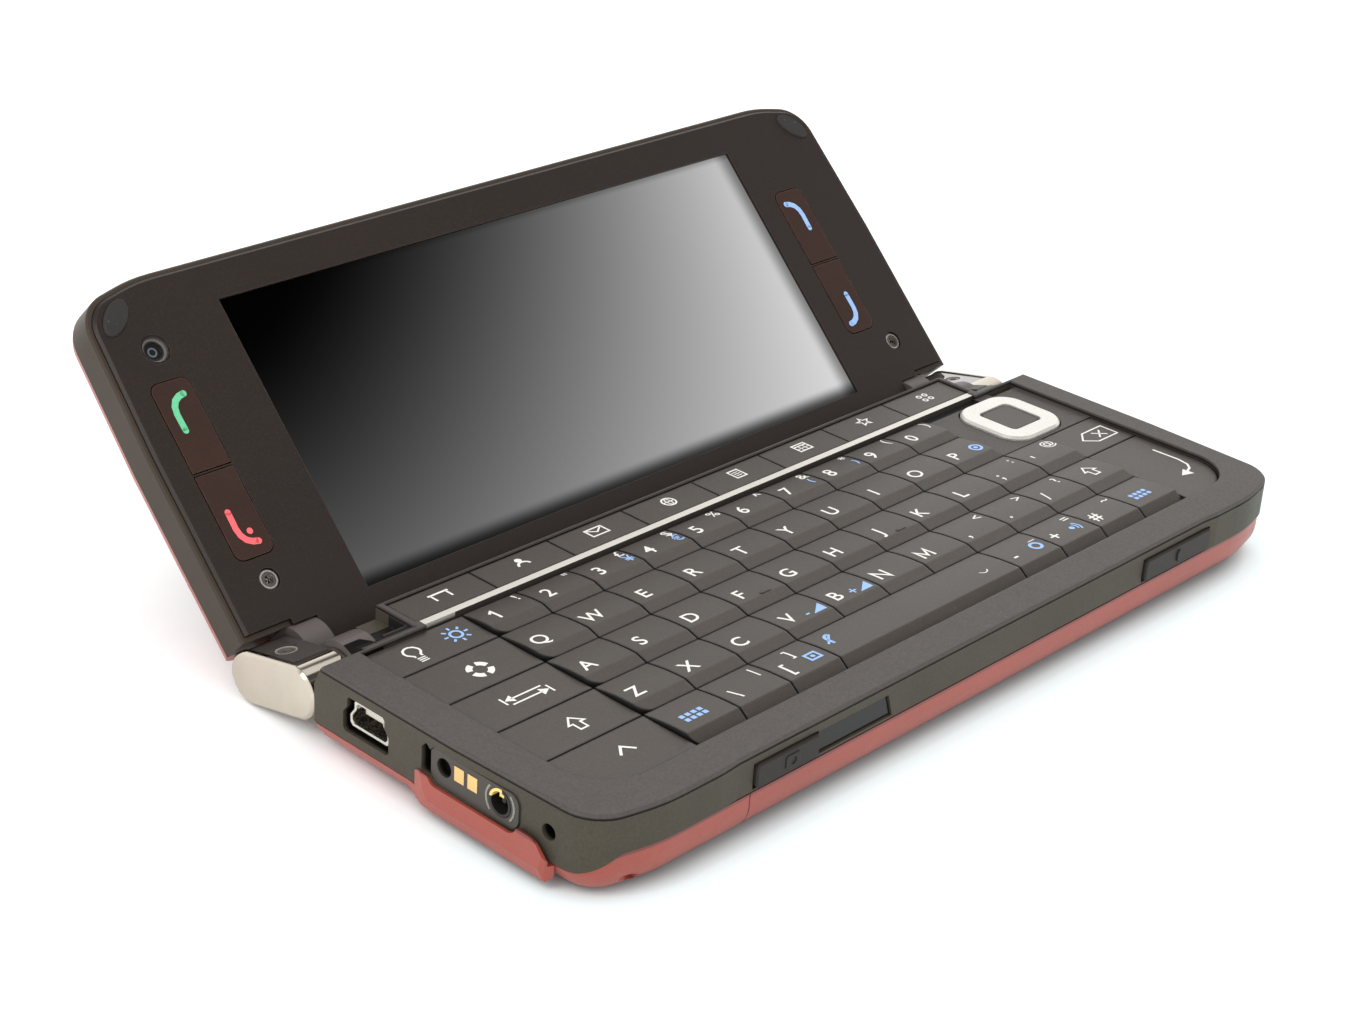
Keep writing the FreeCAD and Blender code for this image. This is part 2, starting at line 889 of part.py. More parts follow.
def make_antenna_cover(blank):
    cover = blank.common(box(-length, seam_x, -length, length, -1, rim_z))
    cover = cover.cut(eyelet_cut()).cut(cover_barrel_room())
    for i in range(slots):
        y = speaker_y + (i - (slots - 1) / 2) * slot_pitch
        slot = centred(speaker_x, y, slot_length, slot_width, slot_width / 2 - 0.01)
        cover = cover.cut(prism(slot, -1, cover_wall + 1))
    connector = prism(connector_outline(0.15), -length, -length / 2 + 2, "yz")
    return cover.cut(connector).cut(plate_slot(-length, -length / 2 + 2)).removeSplitter()


def make_battery_cover(blank):
    cover = blank.common(box(seam_x + seam_gap, length, -length, length, -1, rim_z))
    cover = cover.cut(cover_barrel_room())
    cover = cover.cut(box(notch_x - cover_link_room, length, notch_y - cover_link_room, length, -1, rim_z))
    return cover.cut(prism(rear_camera_outline(0.15), -1, cover_wall + 1)).removeSplitter()


def make_key_strip():
    x0, x1 = strip_ends()
    return box(x0 + 0.05, x1 - 0.05, strip_front_y, strip_front_y + strip_width, strip_floor_z, strip_z)


def make_usb_port():
    start = -length / 2 + usb_set_back
    shell = usb_section(0, start, start + usb_depth)
    shell = shell.cut(usb_section(-usb_wall, start - 1, start + usb_depth - 0.5))
    tongue = box(start + 1.0, start + usb_depth - 0.4, usb_y - 1.9, usb_y + 1.9, usb_z - 0.1, usb_z + 0.6)
    return shell.fuse(tongue)


def make_connector_plate():
    start = -length / 2 + plate_set_back
    plate = prism(connector_outline(-0.05), start, start + plate_depth, "yz")
    plate = plate.cut(rod_x(start - 1, start + plate_depth + 1, hole_y, hole_z, hole_radius))
    plate = plate.cut(rod_x(start - 1, start + plate_depth + 1, jack_y, jack_z, jack_radius))
    for i in range(2):
        plate = plate.cut(contact_block(i, 0.02, start - 1, start + 0.6))
        plate = plate.cut(jack_arc(1 - 2 * i, 0.02, start - 1, start + 0.4))
    return plate


def contact_block(index, grow, x0, x1):
    y = contact_y - index * contact_pitch
    half = contact_width / 2 + grow
    return box(x0, x1, y - half, y + half, contact_z - contact_height / 2 - grow,
               contact_z + contact_height / 2 + grow)


def jack_arc(direction, grow, x0, x1):
    """Bright arc beside the charge jack, a quarter of a thin ring."""
    ring = rod_x(x0, x1, jack_y, jack_z, jack_ring_radius + grow)
    ring = ring.cut(rod_x(x0 - 1, x1 + 1, jack_y, jack_z, jack_ring_radius - jack_ring_width - grow))
    reach = jack_ring_radius + 1
    wedge = prism([(jack_y, jack_z, 0), (jack_y + direction * reach, jack_z - reach, 0),
                   (jack_y + direction * reach, jack_z + reach, 0)], x0 - 1, x1 + 1, "yz")
    return ring.common(wedge)


def make_charge_contacts():
    start = -length / 2 + plate_set_back
    blocks = [contact_block(i, 0, start - contact_proud, start + 0.6) for i in range(2)]
    arcs = [jack_arc(direction, 0, start - 0.03, start + 0.4) for direction in (1, -1)]
    return group(blocks + arcs)


def make_charge_jack():
    start = -length / 2 + plate_set_back
    end = start + plate_depth + jack_depth - 0.1
    sleeve = rod_x(start - 0.05, end, jack_y, jack_z, jack_radius - 0.05)
    sleeve = sleeve.cut(rod_x(start - 1, end - 0.8, jack_y, jack_z, jack_bore))
    sleeve = sleeve.fuse(rod_x(start + 0.6, end - 0.4, jack_y, jack_z, jack_pin_radius))
    leaf = box(start + 0.3, end - 0.4, jack_y - jack_leaf / 2, jack_y + jack_leaf / 2,
               jack_z + jack_bore - jack_leaf, jack_z + jack_bore + 0.1)
    return sleeve.fuse(leaf)


def side_key(x, span, mark):
    """Side key: a bar with eased edges and a raised mark on its face."""
    face_y = front_y + thumb_inset - side_key_proud
    outline = [
        (x, side_key_low_z, 0.5),
        (x + span, side_key_low_z, 0.3),
        (x + span, side_key_high_z, 0.3),
        (x, side_key_high_z, 0.5),
    ]
    key = prism(outline, face_y, face_y + side_key_proud + side_key_depth, "xz")
    front_edges = [e for e in key.Edges if all(abs(v.Y - face_y) < 1e-4 for v in e.Vertexes)]
    key = key.makeChamfer(0.2, front_edges)
    return key.fuse(mark(face_y))


def camera_mark(face_y):
    """Raised outline of a small camera."""
    x = camera_key_x + camera_key_length * 0.56
    z = (side_key_low_z + side_key_high_z) / 2
    frame = prism(centred(x, z, 2.4, 1.7, 0.25), face_y - 0.12, face_y, "xz")
    lens = Part.makeCylinder(0.5, 1, vec(x, face_y - 0.5, z), vec(0, 1, 0))
    return frame.cut(lens)


def voice_mark(face_y):
    """Raised bar in the middle of the key."""
    x = voice_key_x + voice_key_length * 0.5
    z = (side_key_low_z + side_key_high_z) / 2
    return prism(centred(x, z, 0.9, 1.8, 0.4), face_y - 0.2, face_y, "xz")


def make_infrared_window():
    front = front_y + thumb_inset
    return window_slab(0, front + 0.3, front + 0.3 + window_depth)


def make_rear_camera():
    plate = prism(rear_camera_outline(0), rear_camera_set_back, camera_top_z())
    lens_x = rear_camera_x - lens_offset
    flash_x = rear_camera_x + flash_offset
    z1 = rear_camera_set_back + lens_depth
    plate = plate.cut(rod_z(lens_x, rear_camera_y, -1, z1, lens_radius + lens_clearance))
    return plate.cut(rod_z(flash_x, rear_camera_y, -1, z1, flash_radius + lens_clearance))


def hex_socket(x, y, z0, z1, radius):
    """Six-sided driver socket."""
    corners = []
    for i in range(6):
        angle = math.radians(60 * i)
        corners.append((x + radius * math.cos(angle), y + radius * math.sin(angle), 0))
    return prism(corners, z0, z1)


def lens(x, radius):
    """Lens disc, set back a little in the camera plate."""
    z0 = rear_camera_set_back + 0.1
    return rod_z(x, rear_camera_y, z0, rear_camera_set_back + lens_depth, radius)


def make_case_screws():
    screws = []
    for x, y in screw_places():
        head = rod_z(x, y, battery_floor_z, battery_floor_z + case_screw_head, case_screw_radius)
        screws.append(head.cut(hex_socket(x, y, 0, battery_floor_z + 0.3, case_screw_radius / 2)))
    return group(screws)


# Keyboard


def wedge_key(x0, x1, y_rear, y_front, foot_z, corner):
    """Key with an arched top that rises to a ridge and then falls away."""
    depth = y_rear - y_front
    ridge_y = y_front + (1 - key_ridge_share) * key_pitch_y
    middle_y = (y_rear + ridge_y) / 2
    middle_z = (key_rear_z + key_ridge_z) / 2 + key_arch
    rear_top = vec(x0, y_rear, key_rear_z)
    ridge = vec(x0, ridge_y, key_ridge_z)
    edges = [
        Part.Arc(rear_top, vec(x0, middle_y, middle_z), ridge).toShape(),
        Part.LineSegment(ridge, vec(x0, y_front, foot_z)).toShape(),
        Part.LineSegment(vec(x0, y_front, foot_z), vec(x0, y_front, key_bottom_z)).toShape(),
        Part.LineSegment(vec(x0, y_front, key_bottom_z), vec(x0, y_rear, key_bottom_z)).toShape(),
        Part.LineSegment(vec(x0, y_rear, key_bottom_z), rear_top).toShape(),
    ]
    key = Part.Face(Part.Wire(edges)).extrude(vec(x1 - x0, 0, 0))
    if corner > 0:
        plan = [(x0, y_front, min(corner, depth / 2)), (x1, y_front, 0), (x1, y_rear, 0), (x0, y_rear, 0)]
        key = key.common(prism(plan, key_bottom_z, rim_z))
    return key


def row_lines(row):
    """Rear and front line of a key row; row 0 holds the numbers."""
    if row == 0:
        return well_rear_y - row_gap / 2, grid_rear_y + row_gap / 2
    rear = grid_rear_y - (row - 1) * key_pitch_y - row_gap / 2
    front = rear - key_pitch_y + row_gap
    if row == 4:
        front = front - last_row_extra
    return rear, front


def key_in_row(row, first, span):
    """One key that starts at a column and covers some columns."""
    x0 = key_left_x + first * key_pitch_x + column_gap / 2
    x1 = x0 + span * key_pitch_x - column_gap
    rear, front = row_lines(row)
    foot_z = last_row_foot_z if row == 4 else key_rear_z
    corner = key_corner if first == 0 else 0
    return wedge_key(x0, x1, rear, front, foot_z, corner)


def make_row(row, count, bars=()):
    keys = [key_in_row(row, i, 1) for i in range(count)]
    for i in bars:
        keys[i] = keys[i].fuse(home_bar(row, i))
    return group(keys)


def home_bar(row, index):
    """Raised bar that tells a finger it is on its home key."""
    x = key_left_x + (index + home_bar_share_x) * key_pitch_x
    y = row_lines(row)[1] + (1 - key_ridge_share) * key_pitch_y + home_bar_width / 2
    half = home_bar_length / 2
    return box(x - half, x + half, y, y + home_bar_width, key_ridge_z - 0.3, key_ridge_z + home_bar_height)


def make_bottom_row():
    last = space_first_column + space_columns
    places = list(range(space_first_column)) + list(range(last, wide_columns))
    return group([key_in_row(4, i, 1) for i in places])


def flat_key(x0, x1, row, corners):
    """Flat key beside the letter block, with rounded front corners."""
    rear, front = row_lines(row)
    rear = rear - (flat_gap - row_gap) / 2
    front = front + (flat_gap - row_gap) / 2
    if row == 4:
        front = well_front_y + flat_gap
    left_corner, right_corner = corners
    plan = [(x0, front, left_corner), (x1, front, right_corner), (x1, rear, 0), (x0, rear, 0)]
    return prism(plan, key_bottom_z, flat_key_z)


def left_key(row):
    x0 = well_left_x + flat_gap
    x1 = key_left_x - flat_gap / 2
    corner = well_corner - flat_gap if row == 4 else 0
    return flat_key(x0, x1, row, (corner, 0))


def right_span():
    x0 = key_left_x + wide_columns * key_pitch_x + flat_gap / 2
    return x0, well_right_x - flat_gap


def make_backspace():
    x0, x1 = right_span()
    return flat_key(x0, x1, 2, (0, 0))


def make_enter():
    x0, x1 = right_span()
    rear = row_lines(3)[0] - (flat_gap - row_gap) / 2
    front = well_front_y + flat_gap
    plan = [(x0, front, 0), (x1, front, well_corner - flat_gap), (x1, rear, 0), (x0, rear, 0)]
    return prism(plan, key_bottom_z, flat_key_z)


def make_soft_keys():
    keys = []
    for i in range(soft_keys):
        x0 = soft_left_x + i * soft_pitch + soft_gap / 2
        x1 = x0 + soft_pitch - soft_gap
        keys.append(box(x0, x1, soft_front_y, soft_rear_y, key_bottom_z, soft_z))
    return group(keys)


def make_direction_ring():
    ring = prism(centred(ring_x, ring_y, ring_size_x, ring_size_y, ring_corner), key_bottom_z, ring_z)
    top = edges_in_level(ring, ring_z, lambda c: True)
    ring = ring.makeChamfer(ring_bevel, top)
    hole = centred(ring_x, ring_y, ring_size_x - 2 * ring_band, ring_size_y - 2 * ring_band,
                   max(ring_corner - ring_band, 0.5))
    return ring.cut(prism(hole, key_bottom_z - 1, ring_z + 1))


def make_select_key():
    shrink = 2 * ring_band + 2 * ring_gap
    outline = centred(ring_x, ring_y, ring_size_x - shrink, ring_size_y - shrink,
                      max(ring_corner - ring_band - ring_gap, 0.5))
    return prism(outline, key_bottom_z, select_z)


# Links, built along +Y from the lower axis and then turned to the open pose


def obround(side, near, far, half, y0, y1):
    """Bar with round ends between two axes."""
    x0, x1 = span_x(side, near, far)
    bar = box(x0, x1, y0, y1, -half, half)
    return bar.fuse(rod_x(x0, x1, y0, 0, half)).fuse(rod_x(x0, x1, y1, 0, half)).removeSplitter()


def inlay_room(side, grow):
    """Space of the dark inlay cover, open at the top and at the lid end."""
    far = length / 2 - link_end_plate
    x0, x1 = span_x(side, link_inner_x - 1, far + grow)
    return box(x0, x1, inlay_start - grow, axis_pitch + link_half + 1, link_floor - grow, link_half + 1)


def link_pins(side):
    x0, x1 = span_x(side, notch_x - pin_in_barrel + 0.3, link_inner_x + pin_in_link)
    return [rod_x(x0, x1, y, 0, pin_radius) for y in (0, axis_pitch)]


def link_shell(side):
    shell = obround(side, link_inner_x, length / 2, link_half, 0, axis_pitch)
    outer_x = side * length / 2
    rim = [e for e in shell.Edges if abs(e.CenterOfMass.x - outer_x) < 1e-4]
    shell = shell.makeChamfer(link_edge_bevel, rim)
    shell = shell.cut(inlay_room(side, 0))
    for y in (0, axis_pitch):
        x0, x1 = span_x(side, link_inner_x - 1, link_inner_x + pin_in_link)
        shell = shell.cut(rod_x(x0, x1, y, 0, pin_radius + pin_seat_clearance))
    return shell


def link_cover(side):
    cover = obround(side, link_inner_x, length / 2, link_half - 0.15, 0, axis_pitch)
    cover = cover.common(inlay_room(side, -inlay_clearance))
    for y in (0, axis_pitch):
        x0, x1 = span_x(side, link_inner_x - 1, link_inner_x + pin_in_link)
        cover = cover.cut(rod_x(x0, x1, y, 0, pin_radius + pin_seat_clearance))
    x = side * (link_inner_x + link_width / 2)
    seat = rod_z(x, link_screw_s, link_half - 0.15 - link_screw_height, link_half + 1,
                 link_screw_radius + screw_seat_clearance)
    return cover.cut(seat)


def link_screw(side):
    x = side * (link_inner_x + link_width / 2)
    top = link_half - 0.15 - 0.1
    head = rod_z(x, link_screw_s, link_half - 0.15 - link_screw_height, top, link_screw_radius)
    return head.cut(hex_socket(x, link_screw_s, top - 0.25, top + 1, link_screw_radius / 2))


def place_link(shape):
    placed = shape.copy()
    placed.rotate(vec(0, 0, 0), vec(1, 0, 0), -link_drop_deg)
    placed.translate(vec(0, hinge_axis_y, base_axis_z))
    return placed


# Upper half, built flat from its hinge axis: +Y to its free edge, +Z out of its inner face


def lid_plan(inset):
    """Plan of the upper half, notched for the links like the lower half."""
    side = length / 2
    left = [(x, lid_top_y - y, radius) for x, y, radius in reversed(soft_corner())]
    right = [(-x, y, radius) for x, y, radius in reversed(left)]
    notches = [
        (-side, lid_notch_y, 0),
        (-notch_x, lid_notch_y, 0),
        (-notch_x, -spine_depth, 0),
        (notch_x, -spine_depth, 0),
        (notch_x, lid_notch_y, 0),
        (side, lid_notch_y, 0),
    ]
    return shrunk(notches + right + left, inset)


def spine_profile():
    """Side view of the upper half: rounded at the spine, square elsewhere."""
    far = lid_top_y + 5
    return [
        (-spine_depth, lid_outer, spine_radius),
        (far, lid_outer, 0),
        (far, lid_face + 1, 0),
        (0, lid_face + 1, 0),
        (0, lid_roll_radius, 0),
        (-spine_depth, lid_roll_radius, min(spine_depth, lid_roll_radius) - 0.01),
    ]


def spine_trim():
    return prism(spine_profile(), -length, length, "yz")


def lid_barrel_zone(side, grow):
    x0, x1 = span_x(side, barrel_inner_x - grow, notch_x + 1)
    return rod_x(x0, x1, 0, 0, barrel_radius + grow)


def lid_key_outlines():
    """Outline of each inner lid key, by name."""
    half = lid_key_width / 2
    bar = lid_key_bar / 2
    outlines = {}
    for x, upper, lower in ((left_keys_x, "call_key", "end_key"),
                            (right_keys_x, "upper_option_key", "lower_option_key")):
        outlines[upper] = [
            (x - half, lid_key_split_y + bar, 0),
            (x + half, lid_key_split_y + bar, 0),
            (x + half, lid_key_high_y, lid_key_corner),
            (x - half, lid_key_high_y, lid_key_corner),
        ]
        outlines[lower] = [
            (x - half, lid_key_low_y, lid_key_corner),
            (x + half, lid_key_low_y, lid_key_corner),
            (x + half, lid_key_split_y - bar, 0),
            (x - half, lid_key_split_y - bar, 0),
        ]
    return outlines


def grown(corners, grow):
    """Outline moved outward on all sides, for a simple four-sided outline."""
    mid_a = sum(c[0] for c in corners) / len(corners)
    mid_b = sum(c[1] for c in corners) / len(corners)
    moved = []
    for a, b, radius in corners:
        new_a = a + grow * (1 if a > mid_a else -1)
        new_b = b + grow * (1 if b > mid_b else -1)
        moved.append((new_a, new_b, radius + grow if radius > 0 else 0))
    return moved


def screen_opening():
    return rectangle(face_middle_x - window_half_width, face_middle_x + window_half_width,
                     window_low_y, window_high_y)


def make_bezel():
    floor = lid_face - bezel_floor
    bezel = prism(lid_plan(bezel_inset + bezel_clearance), floor, lid_face)
    bezel = bezel.makeChamfer(bezel_edge_bevel, edges_in_level(bezel, lid_face, lambda c: c.y > lid_notch_y + 1))
    opening = screen_opening()
    bezel = bezel.cut(prism(opening, floor - 1, lid_face + 1))
    seat_z = lid_face - window_recess
    bezel = bezel.cut(prism(grown(opening, window_lip), floor - 1, seat_z))
    for corners in lid_key_outlines().values():
        bezel = bezel.cut(prism(grown(corners, lid_key_gap), floor - 1, lid_face + 1))
    for side in (1, -1):
        bezel = bezel.cut(bumper_block(side, bumper_clearance, lid_face - bumper_depth, lid_face + 1))
        seat = lid_face - lid_screw_recess - lid_screw_height
        bezel = bezel.cut(rod_z(face_x(side, lid_screw_x), lid_screw_y, seat, lid_face + 1,
                                lid_screw_radius + screw_seat_clearance))
        x0, x1 = span_x(side, barrel_inner_x - barrel_relief, notch_x + 1)
        bezel = bezel.cut(box(x0, x1, -10, barrel_edge_y() + barrel_relief, floor - 1, lid_face + 1))
        bezel = bezel.cut(lid_barrel_zone(side, barrel_relief))
    bezel = bezel.cut(rod_z(inner_camera_x, inner_camera_y, floor - 1, lid_face + 1, inner_camera_radius + 0.05))
    return bezel.common(spine_trim()).removeSplitter()


def face_x(side, distance):
    """X of what is set in pairs into the inner face."""
    return face_middle_x + side * distance


def barrel_edge_y():
    """Where the barrel's round meets the inner face."""
    return math.sqrt(barrel_radius ** 2 - lid_face ** 2)


def make_lid_band():
    foot = lid_face - lid_band_foot
    top = lid_face - band_step
    floor = lid_face - bezel_floor
    band = prism(lid_plan(0), foot, top)
    band = band.makeChamfer(0.25, edges_in_level(band, top, lambda c: c.y > lid_notch_y + 1))
    band = band.cut(prism(lid_plan(bezel_inset), floor, lid_face + 1))
    band = band.common(spine_trim())
    for side in (1, -1):
        band = band.cut(barrel_seat(side, 0, 0))
    panel = grown(screen_opening(), panel_margin)
    band = band.cut(prism(panel, floor - panel_thickness, lid_face + 1))
    camera_seat = rod_z(inner_camera_x, inner_camera_y, floor - 1.5, lid_face + 1, inner_camera_radius + 0.05)
    return band.cut(camera_seat).removeSplitter()


def make_display_panel():
    floor = lid_face - bezel_floor
    outline = grown(screen_opening(), panel_margin - panel_clearance)
    return prism(outline, floor - panel_thickness, floor - 0.02)


def make_screen_window():
    outline = grown(screen_opening(), window_lip - 0.1)
    return prism(outline, lid_face - bezel_floor, lid_face - window_recess)


def make_lid_key(corners):
    top = lid_face + 0.05
    return prism(corners, top - lid_key_thickness, top)


def bumper_block(side, grow, z0, z1):
    """Oval block that lies along the bend of the corner."""
    oval = Part.Ellipse(vec(0, 0, 0), bumper_long / 2 + grow, bumper_short / 2 + grow).toShape()
    block = Part.Face(Part.Wire([oval])).extrude(vec(0, 0, z1 - z0))
    block.rotate(vec(0, 0, 0), vec(0, 0, 1), -45 * side)
    block.translate(vec(side * bumper_x, bumper_y, z0))
    return block


def make_bumpers():
    bumpers = []
    for side in (1, -1):
        foot = lid_face - bumper_depth
        top = lid_face + bumper_proud
        bumper = bumper_block(side, 0, foot, top)
        bumpers.append(bumper.makeChamfer(bumper_bevel, edges_in_level(bumper, top, lambda c: True)))
    return group(bumpers)


def make_lid_screws():
    screws = []
    for side in (1, -1):
        x = face_x(side, lid_screw_x)
        top = lid_face - lid_screw_recess
        head = rod_z(x, lid_screw_y, top - lid_screw_height, top, lid_screw_radius)
        screws.append(head.cut(hex_socket(x, lid_screw_y, top - 0.35, top + 1, lid_screw_radius / 2)))
    return group(screws)


def make_inner_camera():
    """Camera: a round body with a conical well down to a flat lens."""
    foot = lid_face - bezel_floor - 1.5
    body = rod_z(inner_camera_x, inner_camera_y, foot, lid_face - 0.05, inner_camera_radius)
    well = Part.makeCone(inner_camera_floor, inner_camera_radius - 0.2, inner_camera_recess,
                         vec(inner_camera_x, inner_camera_y, lid_face - inner_camera_recess))
    pupil_foot = lid_face - inner_camera_recess - inner_camera_step
    pupil = rod_z(inner_camera_x, inner_camera_y, pupil_foot, lid_face, inner_camera_lens)
    return body.cut(well).cut(pupil)


def outer_pocket(corners, grow, depth):
    return prism(grown(corners, grow), lid_outer - 1, lid_outer + depth)


def number_outlines():
    outlines = []
    for row in range(number_rows):
        for column in range(number_columns):
            x = number_first_x + row * number_pitch_x
            y = outer_mid_y + (column - 1) * number_pitch_y
            outlines.append(centred(x, y, number_pitch_x - outer_key_gap, number_pitch_y - outer_key_gap,
                                    outer_key_corner))
    return outlines


def function_outlines():
    outlines = []
    reach_y = outer_ring_size / 2 + outer_key_gap + function_width / 2
    step_x = function_length / 2 + outer_key_gap / 2
    for side_y in (-1, 1):
        for side_x in (-1, 1):
            outlines.append(centred(outer_ring_x + side_x * step_x, outer_mid_y + side_y * reach_y,
                                    function_length, function_width, outer_key_corner))
    return outlines


def outer_ring_outline(shrink):
    size = outer_ring_size - 2 * shrink
    return centred(outer_ring_x, outer_mid_y, size, size, 3.0 if shrink == 0 else 1.5)


def outer_window_outline():
    return centred(outer_window_x, outer_mid_y, outer_window_length, outer_window_width, outer_window_corner)


def earpiece_outline():
    return centred(earpiece_x, outer_mid_y, earpiece_width, earpiece_length, earpiece_width / 2 - 0.01)


def make_lid_cover():
    foot = lid_face - lid_band_foot
    cover = prism(lid_plan(0), lid_outer, lid_outer + outer_edge_radius + 1)
    edges = edges_in_level(cover, lid_outer, lambda c: c.y > lid_notch_y + 1)
    cover = cover.makeFillet(outer_edge_radius, edges)
    cover = cover.common(box(-length, length, -length, length, lid_outer, foot - lid_band_gap))
    cover = cover.common(spine_trim())
    half_gap = outer_key_gap / 4
    for outline in number_outlines() + function_outlines():
        cover = cover.cut(outer_pocket(outline, half_gap, outer_pocket_depth))
    cover = cover.cut(outer_pocket(outer_ring_outline(0), half_gap, outer_pocket_depth))
    cover = cover.cut(outer_pocket(outer_window_outline(), outer_window_gap, outer_window_thickness))
    cover = cover.cut(prism(earpiece_outline(), lid_outer - 1, lid_outer + earpiece_depth))
    for side in (1, -1):
        cover = cover.cut(barrel_seat(side, 0, 0))
    return cover.removeSplitter()


def outer_key(corners):
    top = lid_outer - outer_key_proud
    return prism(corners, top, top + outer_key_proud + outer_key_depth)


def make_outer_ring():
    ring = outer_key(outer_ring_outline(0))
    hole = outer_ring_outline(outer_ring_band)
    return ring.cut(prism(hole, lid_outer - 2, lid_outer + 3))


def place_lid(shape):
    placed = shape.copy()
    placed.rotate(vec(0, 0, 0), vec(1, 0, 0), lid_rise_deg)
    drop = math.radians(-link_drop_deg)
    axis_y = hinge_axis_y + axis_pitch * math.cos(drop)
    axis_z = base_axis_z + axis_pitch * math.sin(drop)
    placed.translate(vec(0, axis_y, axis_z))
    return placed


def build_base():
    parts["top_case"] = make_top_case()
    parts["side_band"] = make_band()
    blank = make_cover_blank()
    parts["antenna_cover"] = make_antenna_cover(blank)
    parts["battery_cover"] = make_battery_cover(blank)
    parts["battery"] = battery_box(0, battery_floor_z, battery_top_z - 0.1)
    boards = rectangle(board_left_x + board_clearance, board_right_x - board_clearance,
                       board_front_y + board_clearance, board_rear_y - board_clearance, 1.0)
    board_top = key_floor_z
    parts["main_board"] = prism(boards, board_floor_z, board_top)
    parts["key_strip"] = make_key_strip()
    parts["usb_port"] = make_usb_port()
    parts["connector_plate"] = make_connector_plate()
    parts["charge_contacts"] = make_charge_contacts()
    parts["charge_jack"] = make_charge_jack()
    parts["infrared_window"] = make_infrared_window()
    parts["rear_camera"] = make_rear_camera()
    parts["rear_camera_lens"] = lens(rear_camera_x - lens_offset, lens_radius)
    parts["flash_lens"] = lens(rear_camera_x + flash_offset, flash_radius)
    parts["loudspeaker"] = rod_z(speaker_x, speaker_y, battery_floor_z, speaker_top_z(), speaker_radius)
    parts["vibration_motor"] = rod_x(motor_x, motor_x + motor_length, motor_y, motor_z(), motor_radius)
    parts["case_screws"] = make_case_screws()
    parts["base_barrels"] = group([base_barrel(1), base_barrel(-1)])
    parts["camera_key"] = side_key(camera_key_x, camera_key_length, camera_mark)
    parts["voice_key"] = side_key(voice_key_x, voice_key_length, voice_mark)


def build_keyboard():
    parts["soft_keys"] = make_soft_keys()
    parts["number_row_keys"] = make_row(0, columns)
    parts["q_row_keys"] = make_row(1, columns)
    parts["a_row_keys"] = make_row(2, wide_columns, home_keys)
    parts["z_row_keys"] = make_row(3, wide_columns)
    parts["bottom_row_keys"] = make_bottom_row()
    parts["space_bar"] = key_in_row(4, space_first_column, space_columns)
    for row, name in enumerate(("light_key", "menu_key", "tab_key", "shift_key", "ctrl_key")):
        parts[name] = left_key(row)
    parts["backspace_key"] = make_backspace()
    parts["enter_key"] = make_enter()
    parts["direction_ring"] = make_direction_ring()
    parts["select_key"] = make_select_key()


def build_links():
    parts["hinge_links"] = place_link(group([link_shell(1), link_shell(-1)]))
    parts["link_covers"] = place_link(group([link_cover(1), link_cover(-1)]))
    parts["link_screws"] = place_link(group([link_screw(1), link_screw(-1)]))
    parts["hinge_pins"] = place_link(group(link_pins(1) + link_pins(-1)))


def build_lid():
    flat = {
        "lid_barrels": group([lid_barrel(1), lid_barrel(-1)]),
        "lid_bezel": make_bezel(),
        "lid_band": make_lid_band(),
        "lid_cover": make_lid_cover(),
        "screen_window": make_screen_window(),
        "display_panel": make_display_panel(),
        "lid_bumpers": make_bumpers(),
        "lid_screws": make_lid_screws(),
        "inner_camera": make_inner_camera(),
        "outer_window": prism(outer_window_outline(), lid_outer + 0.1, lid_outer + outer_window_thickness),
        "earpiece": prism(earpiece_outline(), lid_outer + 0.3, lid_outer + earpiece_depth),
        "outer_number_keys": group([outer_key(c) for c in number_outlines()]),
        "outer_function_keys": group([outer_key(c) for c in function_outlines()]),
        "outer_direction_ring": make_outer_ring(),
        "outer_select_key": outer_key(outer_ring_outline(outer_ring_band + outer_key_gap / 2)),
    }
    for name, corners in lid_key_outlines().items():
        flat[name] = make_lid_key(corners)
    for name, shape in flat.items():
        parts[name] = place_lid(shape)


def write_parts():
    os.makedirs("parts", exist_ok=True)
    for name, shape in parts.items():
        if not shape.isValid():
            print("invalid", name)
        shape.exportStep("parts/" + name + ".step")
    print(len(parts), "nodes")


build_base()
build_keyboard()
build_links()
build_lid()
write_parts()
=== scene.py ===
import json
import math

import bmesh
import bpy
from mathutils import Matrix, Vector
from mathutils.bvhtree import BVHTree


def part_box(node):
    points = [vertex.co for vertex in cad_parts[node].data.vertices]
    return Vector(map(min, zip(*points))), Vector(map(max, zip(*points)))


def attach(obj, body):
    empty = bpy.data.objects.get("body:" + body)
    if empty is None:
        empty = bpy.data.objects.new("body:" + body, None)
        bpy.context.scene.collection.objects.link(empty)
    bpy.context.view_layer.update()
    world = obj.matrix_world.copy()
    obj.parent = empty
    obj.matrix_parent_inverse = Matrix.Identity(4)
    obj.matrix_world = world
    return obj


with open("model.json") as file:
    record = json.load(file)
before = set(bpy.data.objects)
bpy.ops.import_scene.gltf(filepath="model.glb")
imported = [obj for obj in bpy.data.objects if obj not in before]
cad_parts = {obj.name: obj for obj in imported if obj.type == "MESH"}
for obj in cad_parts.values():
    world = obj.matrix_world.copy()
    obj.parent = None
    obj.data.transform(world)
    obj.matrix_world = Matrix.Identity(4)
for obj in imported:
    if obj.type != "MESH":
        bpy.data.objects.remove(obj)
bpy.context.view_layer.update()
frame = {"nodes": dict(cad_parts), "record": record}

# Communicator phone, dressed for its portrait. Lengths are in millimetres where nothing else is said.
MM = 0.001
scene = bpy.context.scene

# Camera of the photograph, in metres and degrees
CAMERA_PLACE = (-0.22819, -0.18246, 0.1591)
CAMERA_TURN_DEG = (63.7264, -3.1803, -46.2017)
CAMERA_LENS = 69.07
CAMERA_SENSOR = 36.0
CAMERA_NEAR = 0.01

